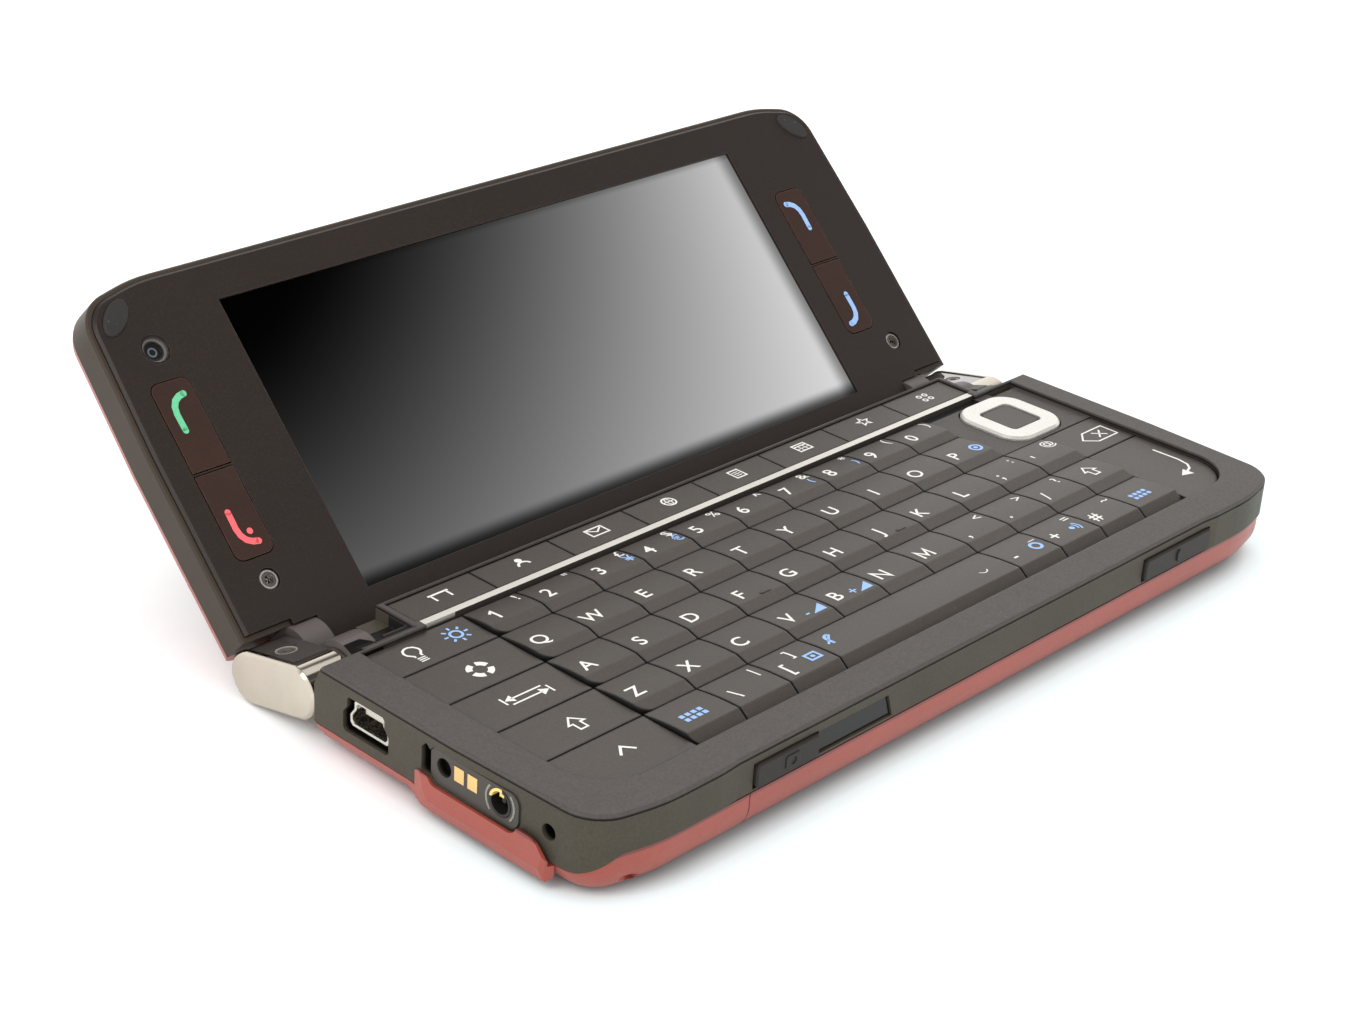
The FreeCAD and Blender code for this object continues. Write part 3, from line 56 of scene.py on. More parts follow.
# White surroundings, and what mirrored rays find of them: bright walls, a dim ceiling and a dim panel
WORLD_LIGHT = 1.35
WALL_LIGHT = 1.45
CEILING_LIGHT = 0.1
WALL_TOP = 0.58
CEILING_START = 0.76
PANEL_PLACE = (0.715, -0.29, 0.636)
PANEL_EDGE = 0.91
PANEL_CORE = 0.975

# Floor, in metres
FLOOR_SIZE = 6
FLOOR_Z = -0.00005

# Outline of the lower half on the floor: half length, front edge and corner radius
FOOT_X = 66.4
FOOT_FRONT_Y = -29.0
FOOT_CORNER = 14.0

# Floor near the phone: how far the painted cool tint against the covers' red bounce light and the painted
# contact shadow reach, and how dark the painted shadow gets
COOL_REACH = (15.0, 40.0)
COOL_Y = (5.0, -10.0)
SHADE_REACH = (0.7, -2.5)
SHADE_Y = (20.0, 0.0)
SHADE_DEPTH = 0.42

# Upper half: its hinge axis and lean in the stored pose
LID_AXIS = Vector((0.0, 30.191, 3.595))
LID_LEAN_DEG = 45.0

# Printed marks
INK_LIFT = 0.025
INK_GLOW = 0.12
FILM_STEP = 0.45
MOST_SPLITS = 5
RAY_HEIGHT = 60.0
RAY_LENGTH_METRES = 0.2
CAP_HEIGHT = 2.1
SMALL_CAP = 1.65
OUTER_CAP = 2.6
STROKE = 0.36
STRAIGHT_STROKE = 0.175
GLYPH_SPREAD = 0.011
SHARPEST_MITRE = 0.4

# Grain of the surfaces: sizes, and the part of each noise that shows
NOISE_PART = (0.3, 0.7)
CLOUD_SIZE = 9.0
METAL_CLOUD_SIZE = 5.0
INK_CLOUD_SIZE = 0.35
GRIT_SIZE = 0.32
GRIT_GAIN = 3.0
FLAKE_SIZE = 0.09
FLAKE_PART = (0.86, 1.0)
FLAKE_GAIN = 6.0
DUST_SIZE = 0.5
DUST_PART = (0.66, 0.8)
DUST_COLOUR = "#b9b4ac"
# Patches of the edge tone, which is wear mixed with painted edge highlight and shade
EDGE_WEAR_AND_LIGHT_SIZE = 1.6
EDGE_WEAR_AND_LIGHT_PART = (0.35, 0.65)
LEAST_EDGE_WEAR_AND_LIGHT = 0.3
EDGE_PART = (0.97, 0.75)

# Display: its half length, the bend and ends of its light ramps, and its soft margins of painted shadow
SCREEN_SIDE = 46.0
SCREEN_BEND = 1.25
SCREEN_ACROSS = (1.03, 0.225)
SCREEN_ALONG_UP = (44.0, 5.0)
SCREEN_ALONG = (1.0, 0.61)
MARGIN_RIGHT_X = (43.0, 46.4)
MARGIN_RIGHT = 0.6
MARGIN_LOW_UP = (4.5, 7.0)
MARGIN_LOW = 0.32
MARGIN_TOP_UP = (44.0, 45.2)
MARGIN_TOP = 0.8
SCREEN_GAMMA = 2.2

# Painted wall shade: free left ends of the key rows, which stand above the flat keys and are left out of
# it, and which faces count as upright
FREE_WALL_X = -45.9
FREE_WALL_Z = (10.2, 10.6)
UPRIGHT_PART = (0.3, 0.15)

# Left end of the lower half: distance of its outer face, where it starts to taper, and the holes in it,
# with the depth behind the face where painted shade fills them
END_FACE_X = 66.4
END_TAPER_Y = -5.8
END_TAPER = 0.0362
HOLE_SHADE_DEPTH = (0.25, 0.7)
HOLES_X = -55.0
HOLES_Y = -22.0
JACK_RING_Y = (-9.6, -9.9)
JACK_PAD_Y = (-13.5, -13.4)
JACK_PAD_Z = (7.6, 7.7)

# Heights on the lower half: painted shade on the floor of the key well and on the wall round the direction
# pad, and painted shade on the red covers
WELL_SHADE_Z = (10.34, 10.3)
PAD_WALL_SHADE_Z = (10.42, 10.76)
RED_SHADE_Z = (5.4, 6.0)
LID_START_Y = 25.0

# Spots on the lid's inner face, across and up from its hinge axis, and what is painted round them: on the
# screws a cross in painted shade, painted glints and a painted highlight rim, on the camera two painted
# highlight rings
SCREW_SPOTS = ((-59.1, 9.8), (58.3, 9.8))
SCREW_HEAD = 0.9
SCREW_CROSS = 0.55
SCREW_ARM = (0.1, 0.2)
SCREW_GLINT = 0.5
GLINT_SIZE = 0.22
GLINT_PART = (0.56, 0.62)
SCREW_RIM_HIGHLIGHT = (0.98, 1.2)
CAMERA_SPOT = (-58.6, 41.2)
CAMERA_RIM_HIGHLIGHT = (1.35, 1.6)
CAMERA_LENS_HIGHLIGHT = (0.45, 0.62)

# Seats of the link screws: distance of a seat's middle from the screws' outer ends, and the painted
# highlight ring round it
SEAT_INSET = 1.1
SEAT_HIGHLIGHT_RING = (1.15, 1.35)

# Softness of the painted highlight rings and painted shade bands, half width
RING_SOFT = 0.08
BAND_SOFT = 0.05

# Faces that look along the hinge stay satin, all others are polished
ALONG_HINGE = (0.9, 0.99)
LINK_POLISH = 0.09


def linear(code):
    """Linear colour of a #rrggbb code."""
    def channel(i):
        c = int(code[i:i + 2], 16) / 255
        return c / 12.92 if c <= 0.04045 else ((c + 0.055) / 1.055) ** 2.4
    return (channel(1), channel(3), channel(5), 1.0)


def scaled(colour, factor):
    return tuple(min(1.0, c * factor) for c in colour[:3]) + (1.0,)


def add_node(tree, kind, inputs=None, **settings):
    """New shader node. Each input is a plain value or a socket to link."""
    made = tree.nodes.new("ShaderNode" + kind)
    for name, value in settings.items():
        setattr(made, name, value)
    for name, value in (inputs or {}).items():
        if isinstance(value, bpy.types.NodeSocket):
            tree.links.new(value, made.inputs[name])
        else:
            made.inputs[name].default_value = value
    return made


def maths(tree, operation, a, b=0.0):
    return add_node(tree, "Math", {0: a, 1: b}, operation=operation).outputs[0]


def remap(tree, value, part, to_low=0.0, to_high=1.0, smooth=False):
    """The value with the two ends of a part of its range moved to two new values, and no further."""
    made = add_node(tree, "MapRange", {0: value, 1: part[0], 2: part[1], 3: to_low, 4: to_high})
    if smooth:
        made.interpolation_type = "SMOOTHSTEP"
    return made.outputs[0]


def dot_product(tree, a, b):
    return add_node(tree, "VectorMath", {0: a, 1: b}, operation="DOT_PRODUCT").outputs["Value"]


class Surface:
    """Material being built: object coordinates in millimetres, noises and soft edges."""

    def __init__(self, name):
        self.material = bpy.data.materials.new(name)
        self.material.use_nodes = True
        self.tree = self.material.node_tree
        self.shader = self.tree.nodes["Principled BSDF"]
        coords = add_node(self.tree, "TexCoord")
        place = add_node(self.tree, "VectorMath", {0: coords.outputs["Object"]}, operation="SCALE")
        place.inputs["Scale"].default_value = 1 / MM
        self.place = place.outputs[0]

    def maths(self, operation, a, b=0.0):
        return maths(self.tree, operation, a, b)

    def product(self, a, b):
        return maths(self.tree, "MULTIPLY", a, b)

    def remap(self, value, part, to_low=0.0, to_high=1.0, smooth=False):
        return remap(self.tree, value, part, to_low, to_high, smooth)

    def split(self, vector):
        return add_node(self.tree, "SeparateXYZ", {0: vector}).outputs

    def axes(self):
        return self.split(self.place)

    def blend(self, factor, a, b):
        made = self.tree.nodes.new("ShaderNodeMix")
        made.data_type = "RGBA"
        for index, value in ((0, factor), (6, a), (7, b)):
            if isinstance(value, bpy.types.NodeSocket):
                self.tree.links.new(value, made.inputs[index])
            else:
                made.inputs[index].default_value = value
        return made.outputs[2]

    def noise(self, size, detail=2.0, stretch=None):
        """Noise from 0 to 1 whose features are about `size` millimetres long."""
        vector = self.place
        if stretch:
            vector = add_node(self.tree, "Mapping", {"Vector": vector, "Scale": stretch}).outputs[0]
        settings = {"Vector": vector, "Scale": 1 / size, "Detail": detail, "Roughness": 0.55}
        return add_node(self.tree, "TexNoise", settings).outputs[0]

    def widened(self, noise, low=0.0, high=1.0):
        """The usual part of a noise, stretched between two values."""
        return self.remap(noise, NOISE_PART, low, high)

    def flakes(self, size):
        """Random grey per cell, for fine sparkle."""
        cells = add_node(self.tree, "TexVoronoi", {"Vector": self.place, "Scale": 1 / size})
        return add_node(self.tree, "SeparateColor", {0: cells.outputs["Color"]}).outputs[0]

    def soft_normal(self, radius):
        return add_node(self.tree, "Bevel", {"Radius": radius * MM}, samples=4).outputs[0]

    def true_normal(self):
        return add_node(self.tree, "NewGeometry").outputs["True Normal"]

    def edge(self, normal):
        """1 on an edge, 0 on a flat face."""
        return self.remap(dot_product(self.tree, normal, self.true_normal()), EDGE_PART)

    def bump(self, height, depth, normal):
        settings = {"Height": height, "Distance": depth * MM, "Strength": 1.0, "Normal": normal}
        return add_node(self.tree, "Bump", settings).outputs[0]

    def set(self, **sockets):
        """Sets or links sockets of the shader, named in lower case with low lines."""
        for name, value in sockets.items():
            socket = self.shader.inputs[name.replace("_", " ").title().replace("Ior", "IOR")]
            if isinstance(value, bpy.types.NodeSocket):
                self.tree.links.new(value, socket)
            else:
                socket.default_value = value


def moulded(name, code, rough=0.5, spread=0.08, grain=0.12, depth=0.004, mottle=0.06, edge_wear_and_light=0.35,
            edge_wear_and_light_gain=1.5, edge=0.12, sparkle=0.0, specular=0.28, metallic=0.0, coat=0.0,
            coat_rough=0.2, streak=None, dust=0.0, grit=0.0):
    """Moulded or painted surface: mottled colour, fine grain, optional flakes, and soft edges whose tone a
    gain moves: wear mixed with painted edge highlight where the gain is above 1 and painted edge shade
    where it is below 1.
    """
    surface = Surface(name)
    base = linear(code)
    cloud = surface.noise(CLOUD_SIZE, 3.0)
    fine = surface.noise(grain, 2.0, stretch=streak)
    colour = surface.blend(surface.widened(cloud), scaled(base, 1 - mottle), scaled(base, 1 + mottle))
    if grit:
        grains = surface.widened(surface.noise(GRIT_SIZE, 2.0))
        darker = surface.blend(grit, colour, (0.0, 0.0, 0.0, 1.0))
        lighter = surface.blend(0.5 * grit, colour, scaled(base, GRIT_GAIN))
        colour = surface.blend(grains, darker, lighter)
    if sparkle:
        lit = surface.remap(surface.flakes(FLAKE_SIZE), FLAKE_PART, 0.0, sparkle)
        colour = surface.blend(lit, colour, scaled(base, FLAKE_GAIN))
    if dust:
        specks = surface.remap(surface.noise(DUST_SIZE, 4.0), DUST_PART, 0.0, dust)
        colour = surface.blend(specks, colour, linear(DUST_COLOUR))
    soft = surface.soft_normal(edge)
    # Edge tone: wear mixed with painted edge highlight with a gain above 1, painted edge shade with a gain
    # below 1
    edge_wear_and_light_amount = surface.remap(surface.noise(EDGE_WEAR_AND_LIGHT_SIZE, 4.0), EDGE_WEAR_AND_LIGHT_PART, LEAST_EDGE_WEAR_AND_LIGHT * edge_wear_and_light, edge_wear_and_light)
    colour = surface.blend(surface.product(surface.edge(soft), edge_wear_and_light_amount), colour, scaled(base, edge_wear_and_light_gain))
    surface.set(base_color=colour, roughness=surface.widened(fine, rough - spread, rough + spread),
                normal=surface.bump(fine, depth, soft), specular_ior_level=specular, metallic=metallic,
                coat_weight=coat, coat_roughness=coat_rough)
    return surface


def metal(name, code, rough=0.25, spread=0.08, streak=(1, 18, 18), size=1.2, depth=0.002, edge=0.15,
          tarnish=0.1):
    """Metal with fine lines along one direction, cloudy tone and soft bright edges."""
    surface = Surface(name)
    base = linear(code)
    lines = surface.noise(size, 3.0, stretch=streak)
    cloud = surface.noise(METAL_CLOUD_SIZE, 3.0)
    surface.set(base_color=surface.blend(surface.widened(cloud), scaled(base, 1 - tarnish), base),
                roughness=surface.widened(lines, rough - spread, rough + spread),
                normal=surface.bump(lines, depth, surface.soft_normal(edge)), metallic=1.0)
    return surface


def ink(name, code):
    """Printed mark, slightly uneven in tone."""
    surface = Surface(name)
    base = linear(code)
    cloud = surface.noise(INK_CLOUD_SIZE, 3.0)
    surface.set(base_color=surface.blend(surface.widened(cloud), scaled(base, 0.9), scaled(base, 1.04)),
                roughness=surface.widened(cloud, 0.45, 0.6),
                emission_color=base, emission_strength=INK_GLOW)
    return surface


def paint(node, surface):
    """Gives a node of the frame its finished material."""
    for slot in frame["nodes"][node].material_slots:
        slot.material = surface.material


def lid_axes(surface):
    """Place across and up the lid's inner face, from its hinge axis."""
    x, y, z = surface.axes()
    lean = math.radians(LID_LEAN_DEG)
    along_y = surface.product(surface.maths("SUBTRACT", y, LID_AXIS.y), math.cos(lean))
    along_z = surface.product(surface.maths("SUBTRACT", z, LID_AXIS.z), math.sin(lean))
    return x, surface.maths("ADD", along_y, along_z)


def screen_surface():
    """Lit display: two soft ramps screened together, soft dark margins of painted shadow, under faintly
    glossy glass.
    """
    surface = Surface("screen_glass")
    x, up = lid_axes(surface)
    share = surface.maths("POWER", surface.remap(x, (-SCREEN_SIDE, SCREEN_SIDE)), SCREEN_BEND)
    across = surface.remap(share, (0.0, 1.0), *SCREEN_ACROSS)
    along = surface.remap(up, SCREEN_ALONG_UP, *SCREEN_ALONG)
    shade = surface.maths("SUBTRACT", 1.0, surface.product(across, along))
    # Painted soft shadow along the right, bottom and top edges
    right = surface.remap(x, MARGIN_RIGHT_X, 1.0, MARGIN_RIGHT, smooth=True)
    bottom = surface.remap(up, MARGIN_LOW_UP, MARGIN_LOW, 1.0, smooth=True)
    top = surface.remap(up, MARGIN_TOP_UP, 1.0, MARGIN_TOP, smooth=True)
    shade = surface.product(surface.product(shade, right), surface.product(bottom, top))
    light = surface.maths("POWER", surface.maths("MAXIMUM", shade, 0.0), SCREEN_GAMMA)
    tint = add_node(surface.tree, "CombineColor", {0: light, 1: light, 2: light}).outputs[0]
    haze = surface.noise(6.0, 2.0)
    surface.set(base_color=linear("#020202"), roughness=surface.widened(haze, 0.10, 0.16),
                emission_color=tint, emission_strength=1.0, specular_ior_level=0.0)
    return surface


def two_tone(surface, mask, code):
    """Second colour where the mask is 1."""
    socket = surface.shader.inputs["Base Color"]
    first = socket.links[0].from_socket
    surface.tree.links.new(surface.blend(mask, first, linear(code)), socket)


def smooth_sides(surface, rough):
    """Lower roughness on the faces that don't look along the hinge, which are polished."""
    along = surface.maths("ABSOLUTE", surface.split(surface.true_normal())[0])
    socket = surface.shader.inputs["Roughness"]
    first = socket.links[0].from_socket
    mixed = add_node(surface.tree, "Mix", {0: surface.remap(along, ALONG_HINGE), 2: rough, 3: first})
    surface.tree.links.new(mixed.outputs[0], socket)


def paint_wall_shade(surface, code):
    """Painted shade: a second, darker colour on faces that stand upright, where little light comes between
    the keys.
    """
    up = surface.split(surface.true_normal())[2]
    x, y, z = surface.axes()
    # The free left ends above the flat keys are left without painted shade
    free_end = surface.product(surface.maths("LESS_THAN", x, FREE_WALL_X), surface.remap(z, FREE_WALL_Z))
    upright = surface.remap(up, UPRIGHT_PART)
    two_tone(surface, surface.product(upright, surface.maths("SUBTRACT", 1.0, free_end)), code)


def paint_hole_shade(surface, code):
    """Painted shade: a second, darker colour inside the holes of the left end, behind its outer face."""
    x, y, z = surface.axes()
    ahead = surface.maths("MAXIMUM", surface.maths("SUBTRACT", END_TAPER_Y, y), 0.0)
    taper = surface.product(ahead, END_TAPER)
    depth = surface.maths("SUBTRACT", x, surface.maths("SUBTRACT", taper, END_FACE_X))
    left = surface.maths("LESS_THAN", x, HOLES_X)
    near = surface.product(left, surface.maths("GREATER_THAN", y, HOLES_Y))
    two_tone(surface, surface.product(surface.remap(depth, HOLE_SHADE_DEPTH), near), code)


def between(surface, value, low, high, soft):
    """1 between two values, with soft rims."""
    rising = surface.remap(value, (low - soft, low + soft))
    falling = surface.remap(value, (high - soft, high + soft), 1.0, 0.0)
    return surface.product(rising, falling)


def height_band(surface, low, high):
    """1 between two heights, 0 elsewhere."""
    return between(surface, surface.axes()[2], low, high, BAND_SOFT)


def under_lid(surface, low, high):
    """1 between two heights of the lower half, 0 elsewhere."""
    ahead = surface.maths("LESS_THAN", surface.axes()[1], LID_START_Y)
    return surface.product(height_band(surface, low, high), ahead)


def lid_spot(surface, spot):
    """Distance from a spot on the lid's inner face."""
    x, up = lid_axes(surface)
    across = surface.maths("POWER", surface.maths("SUBTRACT", x, spot[0]), 2.0)
    along = surface.maths("POWER", surface.maths("SUBTRACT", up, spot[1]), 2.0)
    return surface.maths("SQRT", surface.maths("ADD", across, along))


def lid_highlight_ring(surface, spot, ring, code):
    """Painted highlight ring round a spot on the lid's inner face."""
    two_tone(surface, between(surface, lid_spot(surface, spot), *ring, RING_SOFT), code)


def screw_face(surface, spot):
    """Head of a lid screw in a lighter tone: a cross recess in painted shade, painted glints and a painted
    highlight rim.
    """
    x, up = lid_axes(surface)
    across = surface.maths("ABSOLUTE", surface.maths("SUBTRACT", x, spot[0]))
    along = surface.maths("ABSOLUTE", surface.maths("SUBTRACT", up, spot[1]))
    off = lid_spot(surface, spot)
    arm = surface.remap(surface.maths("MINIMUM", across, along), SCREW_ARM, 1.0, 0.0)
    glint = surface.remap(surface.noise(GLINT_SIZE, 1.0), GLINT_PART)
    two_tone(surface, surface.maths("LESS_THAN", off, SCREW_HEAD), "#8d867f")
    # Cross recess in painted shade, then painted glints and a painted highlight rim
    two_tone(surface, surface.product(arm, surface.maths("LESS_THAN", off, SCREW_CROSS)), "#171514")
    two_tone(surface, surface.product(glint, surface.maths("LESS_THAN", off, SCREW_GLINT)), "#e6e0d6")
    lid_highlight_ring(surface, spot, SCREW_RIM_HIGHLIGHT, "#fffaf2")


def seat_highlight_rings(surface, code):
    """Thin painted highlight ring round each of the two screw seats, found from the box of the screws."""
    low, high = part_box("link_screws")
    y = (low[1] + high[1]) / 2 / MM
    z = (low[2] + high[2]) / 2 / MM
    for x in (low[0] / MM + SEAT_INSET, high[0] / MM - SEAT_INSET):
        spots = {0: surface.place, 1: (x, y, z)}
        off = add_node(surface.tree, "VectorMath", spots, operation="DISTANCE").outputs["Value"]
        two_tone(surface, between(surface, off, *SEAT_HIGHLIGHT_RING, RING_SOFT), code)


# Surfaces of the slots. Each edge gain paints highlights on the edges where it is above 1 and shade where
# it is below 1, mixed with wear
RIM = moulded("rim_soft_touch", "#484340", rough=0.5, grain=0.18, depth=0.012, mottle=0.04, edge_wear_and_light=0.3,
              dust=0.10, grit=0.14, edge=0.4)
BAND = moulded("band_plastic", "#464138", rough=0.42, grain=0.14, depth=0.003, mottle=0.07, edge_wear_and_light=0.45,
               specular=0.1, grit=0.1)
LID_BAND = moulded("lid_band_plastic", "#3c342c", rough=0.42, grain=0.14, depth=0.003, mottle=0.07,
                   edge_wear_and_light=0.45, specular=0.15)
BARREL = moulded("barrel_plastic", "#544d4b", rough=0.38, mottle=0.06, edge_wear_and_light=0.5)
KEY = moulded("key_plastic", "#3c352e", rough=0.46, spread=0.06, grain=0.16, depth=0.012, mottle=0.05,
              edge_wear_and_light=1.0, edge_wear_and_light_gain=0.2, edge=0.42, dust=0.12, specular=0.58, grit=0.14)
LID_KEY = moulded("lid_key_plastic", "#311d15", rough=0.36, grain=0.16, mottle=0.10, edge_wear_and_light=0.9,
                  edge_wear_and_light_gain=7.0, edge=0.12, sparkle=0.10, specular=0.4)
BEZEL = moulded("bezel_speckled", "#231a15", rough=0.42, spread=0.06, grain=0.2, depth=0.008,
                mottle=0.05, edge_wear_and_light=0.8, edge_wear_and_light_gain=7.0, edge=0.14, sparkle=0.16, specular=0.36, grit=0.12)
RED = moulded("red_satin", "#923e31", rough=0.42, spread=0.05, grain=0.2, depth=0.002, mottle=0.05,
              edge_wear_and_light=0.35, edge_wear_and_light_gain=1.5, sparkle=0.10, coat=0.3, coat_rough=0.3, specular=0.4)
SIDE_KEY = moulded("side_key_plastic", "#2d2825", rough=0.42, mottle=0.06, edge_wear_and_light=0.5, edge_wear_and_light_gain=1.8,
                   edge=0.1, specular=0.15)
RUBBER = moulded("bumper_rubber", "#2c2928", rough=0.62, spread=0.08, grain=0.25, depth=0.012,
                 mottle=0.12, edge_wear_and_light=0.8, edge_wear_and_light_gain=3.0, dust=0.2, edge=0.2)
CONNECTOR = moulded("connector_plastic", "#3f3a35", rough=0.4, mottle=0.05, edge_wear_and_light=0.35)
JACK = moulded("jack_insulator", "#1d1a18", rough=0.35, mottle=0.1, edge_wear_and_light=0.2)
INFRARED = moulded("infrared_filter", "#1d1716", rough=0.16, spread=0.04, depth=0.001, mottle=0.05,
                   edge_wear_and_light=0.35, coat=0.15, coat_rough=0.08, specular=0.15)
CAMERA_TRIM = moulded("camera_trim", "#2c2a29", rough=0.3, edge_wear_and_light=0.5, edge_wear_and_light_gain=2.4)
GLASS = moulded("lens_glass", "#0b0d12", rough=0.06, spread=0.03, depth=0.0005, mottle=0.3, edge_wear_and_light=0.3,
                coat=1.0, coat_rough=0.03)
FLASH = moulded("flash_lens", "#d2d0c7", rough=0.14, spread=0.05, grain=0.5, depth=0.02, mottle=0.05,
                edge_wear_and_light=0.2)
GRILLE = moulded("speaker_mesh", "#1b1a19", rough=0.5, grain=0.22, depth=0.05, mottle=0.15, edge_wear_and_light=0.3)
BATTERY = moulded("battery_label", "#b9b7b3", rough=0.45, mottle=0.04, edge_wear_and_light=0.2)
BOARD = moulded("circuit_board", "#2b5a3c", rough=0.4, mottle=0.12, edge_wear_and_light=0.3)
PANEL = moulded("panel_stack", "#2a2c30", rough=0.4, mottle=0.1, edge_wear_and_light=0.3)
OUTER_GLASS = moulded("outer_window_glass", "#0f1012", rough=0.08, spread=0.03, depth=0.0006,
                      mottle=0.2, edge_wear_and_light=0.25, edge_wear_and_light_gain=2.0, coat=1.0, coat_rough=0.04)
OUTER_KEY = moulded("outer_key_plastic", "#4d4947", rough=0.34, mottle=0.05, edge_wear_and_light=0.5, edge_wear_and_light_gain=1.7,
                    sparkle=0.06)
INLAY = moulded("link_inlay", "#423d3a", rough=0.12, spread=0.05, mottle=0.08, edge_wear_and_light=0.5, edge_wear_and_light_gain=2.2,
                edge=0.2, coat=1.0, coat_rough=0.06)
CAMERA_BODY = moulded("inner_camera_body", "#1e1c1a", rough=0.26, mottle=0.08, edge_wear_and_light=0.9, edge_wear_and_light_gain=9.0,
                      edge=0.12)
STRIP = moulded("bright_trim", "#cdc9c0", rough=0.35, grain=0.3, depth=0.001, mottle=0.03, edge_wear_and_light=0.2,
                metallic=0.45, streak=(0.2, 10, 10), specular=0.5)
RING = moulded("pad_metal", "#d3d0c9", rough=0.32, grain=0.4, depth=0.001, mottle=0.03, edge_wear_and_light=0.2,
               metallic=0.45, streak=(1, 12, 1), specular=0.5)
LINK_SCREW = moulded("link_screw", "#5d5852", rough=0.3, edge_wear_and_light=0.9, edge_wear_and_light_gain=3.0, edge=0.2,
                     metallic=0.3)

LINK = metal("link_metal", "#c4bbad", rough=0.22, streak=(2, 14, 14), size=1.5, edge=0.25, depth=0.001)
PORT = metal("port_shell", "#cbc6bd", rough=0.25, streak=(4, 4, 4))
GOLD = metal("contact_gold", "#f2c987", rough=0.3, streak=(6, 6, 2), size=0.6, edge=0.08, tarnish=0.14)
SCREW = metal("screw_steel", "#8f8a84", rough=0.3, streak=(3, 3, 3), size=0.4, edge=0.08)
DARK_SCREW = metal("dark_screw", "#3c3936", rough=0.3, streak=(3, 3, 3), size=0.4, edge=0.1,
                   tarnish=0.25)
PIN = metal("pin_steel", "#9c9892", rough=0.25, streak=(1, 8, 8))
MOTOR = metal("motor_can", "#a8a49c", rough=0.25, streak=(8, 1, 8))

# Second tones: ring and pad of the jack; painted highlight rings, glints and cross shade on the lens and
# screws of the lid and round the link screws; painted shade between the pieces, in the key well, in the
# holes and on the red covers
smooth_sides(LINK, LINK_POLISH)
two_tone(GOLD, GOLD.remap(GOLD.axes()[1], JACK_RING_Y), "#8f8c84")
two_tone(JACK, JACK.product(JACK.remap(JACK.axes()[2], JACK_PAD_Z), JACK.remap(JACK.axes()[1], JACK_PAD_Y)),
         "#f0c878")
# Painted highlight rings on the camera's rim and lens
lid_highlight_ring(CAMERA_BODY, CAMERA_SPOT, CAMERA_RIM_HIGHLIGHT, "#6f6a66")
lid_highlight_ring(CAMERA_BODY, CAMERA_SPOT, CAMERA_LENS_HIGHLIGHT, "#6a6f7c")
for screw_spot in SCREW_SPOTS:
    screw_face(DARK_SCREW, screw_spot)
# Painted highlight rings round the link screw seats
seat_highlight_rings(INLAY, "#a59e96")
# Painted shade on upright faces of the keys and the strip, and in the holes of the left end
paint_wall_shade(KEY, "#0d0c0b")
paint_wall_shade(STRIP, "#4a4541")
paint_hole_shade(BAND, "#0f0d0c")
paint_hole_shade(CONNECTOR, "#0c0b0a")
# Painted shade in the key well and on the wall round the direction pad
two_tone(RIM, RIM.remap(RIM.axes()[2], WELL_SHADE_Z), "#1b1918")
two_tone(RIM, height_band(RIM, *PAD_WALL_SHADE_Z), "#1b1918")
two_tone(RED, under_lid(RED, *RED_SHADE_Z), "#6e2a24")

FINISHES = {
    "soft_touch_rim": RIM, "band_plastic": BAND, "barrel_plastic": BARREL, "red_shell": RED,
    "battery_pack": BATTERY, "circuit_board": BOARD, "bright_trim": STRIP, "port_shell": PORT,
    "connector_plastic": CONNECTOR, "contact_gold": GOLD, "jack_metal": JACK, "infrared_filter": INFRARED,
    "camera_trim": CAMERA_TRIM, "camera_glass": GLASS, "flash_glass": FLASH, "speaker_mesh": GRILLE,
    "motor_can": MOTOR, "screw_steel": SCREW, "dark_screw": DARK_SCREW, "side_key_plastic": SIDE_KEY,
    "key_plastic": KEY, "pad_metal": RING, "link_metal": LINK, "link_inlay": INLAY, "pin_steel": PIN,
    "bezel_plastic": BEZEL, "window_glass": screen_surface(), "panel_stack": PANEL, "bumper_rubber": RUBBER,
    "inner_camera_body": CAMERA_BODY, "lid_key_plastic": LID_KEY, "outer_window_glass": OUTER_GLASS,
    "outer_key_plastic": OUTER_KEY,
}
for entry in frame["record"]["subparts"]:
    paint(entry["node"], FINISHES[entry["material_slot"]])
paint("select_key", KEY)
paint("link_screws", LINK_SCREW)
paint("lid_band", LID_BAND)

# Inks
WHITE = ink("ink_white", "#d4d1cb")
BLUE = ink("ink_blue", "#86a9d8")
GREEN = ink("ink_green", "#5bb686")
CRIMSON = ink("ink_red", "#e1595f")


class Plane:
    """Drawing plane with its own x and y. Marks fall on the part against its normal."""

    def __init__(self, origin, right, up):
        self.origin = Vector(origin)
        self.right = Vector(right)
        self.up = Vector(up)
        self.normal = self.right.cross(self.up)

    def point(self, x, y, height=0.0):
        return (self.origin + self.right * x + self.up * y + self.normal * height) * MM


def lid_up():
    lean = math.radians(LID_LEAN_DEG)
    return Vector((0, math.cos(lean), math.sin(lean)))


DECK = Plane((0, 0, 0), (1, 0, 0), (0, 1, 0))
INNER = Plane(LID_AXIS, (1, 0, 0), lid_up())
OUTER = Plane(LID_AXIS, lid_up(), (1, 0, 0))

# Signs drawn as one bent stroke: half width and bends, both in half capital heights
STRAIGHT_SIGNS = {
    "M": (0.92, [(-1, -1), (-0.92, 1), (0, -0.55), (0.92, 1), (1, -1)]),
    "N": (0.8, [(-1, -1), (-1, 1), (1, -1), (1, 1)]),
    "1": (0.45, [(-0.7, 0.5), (0.6, 1), (0.6, -1)]),
}
GLYPHS = {}


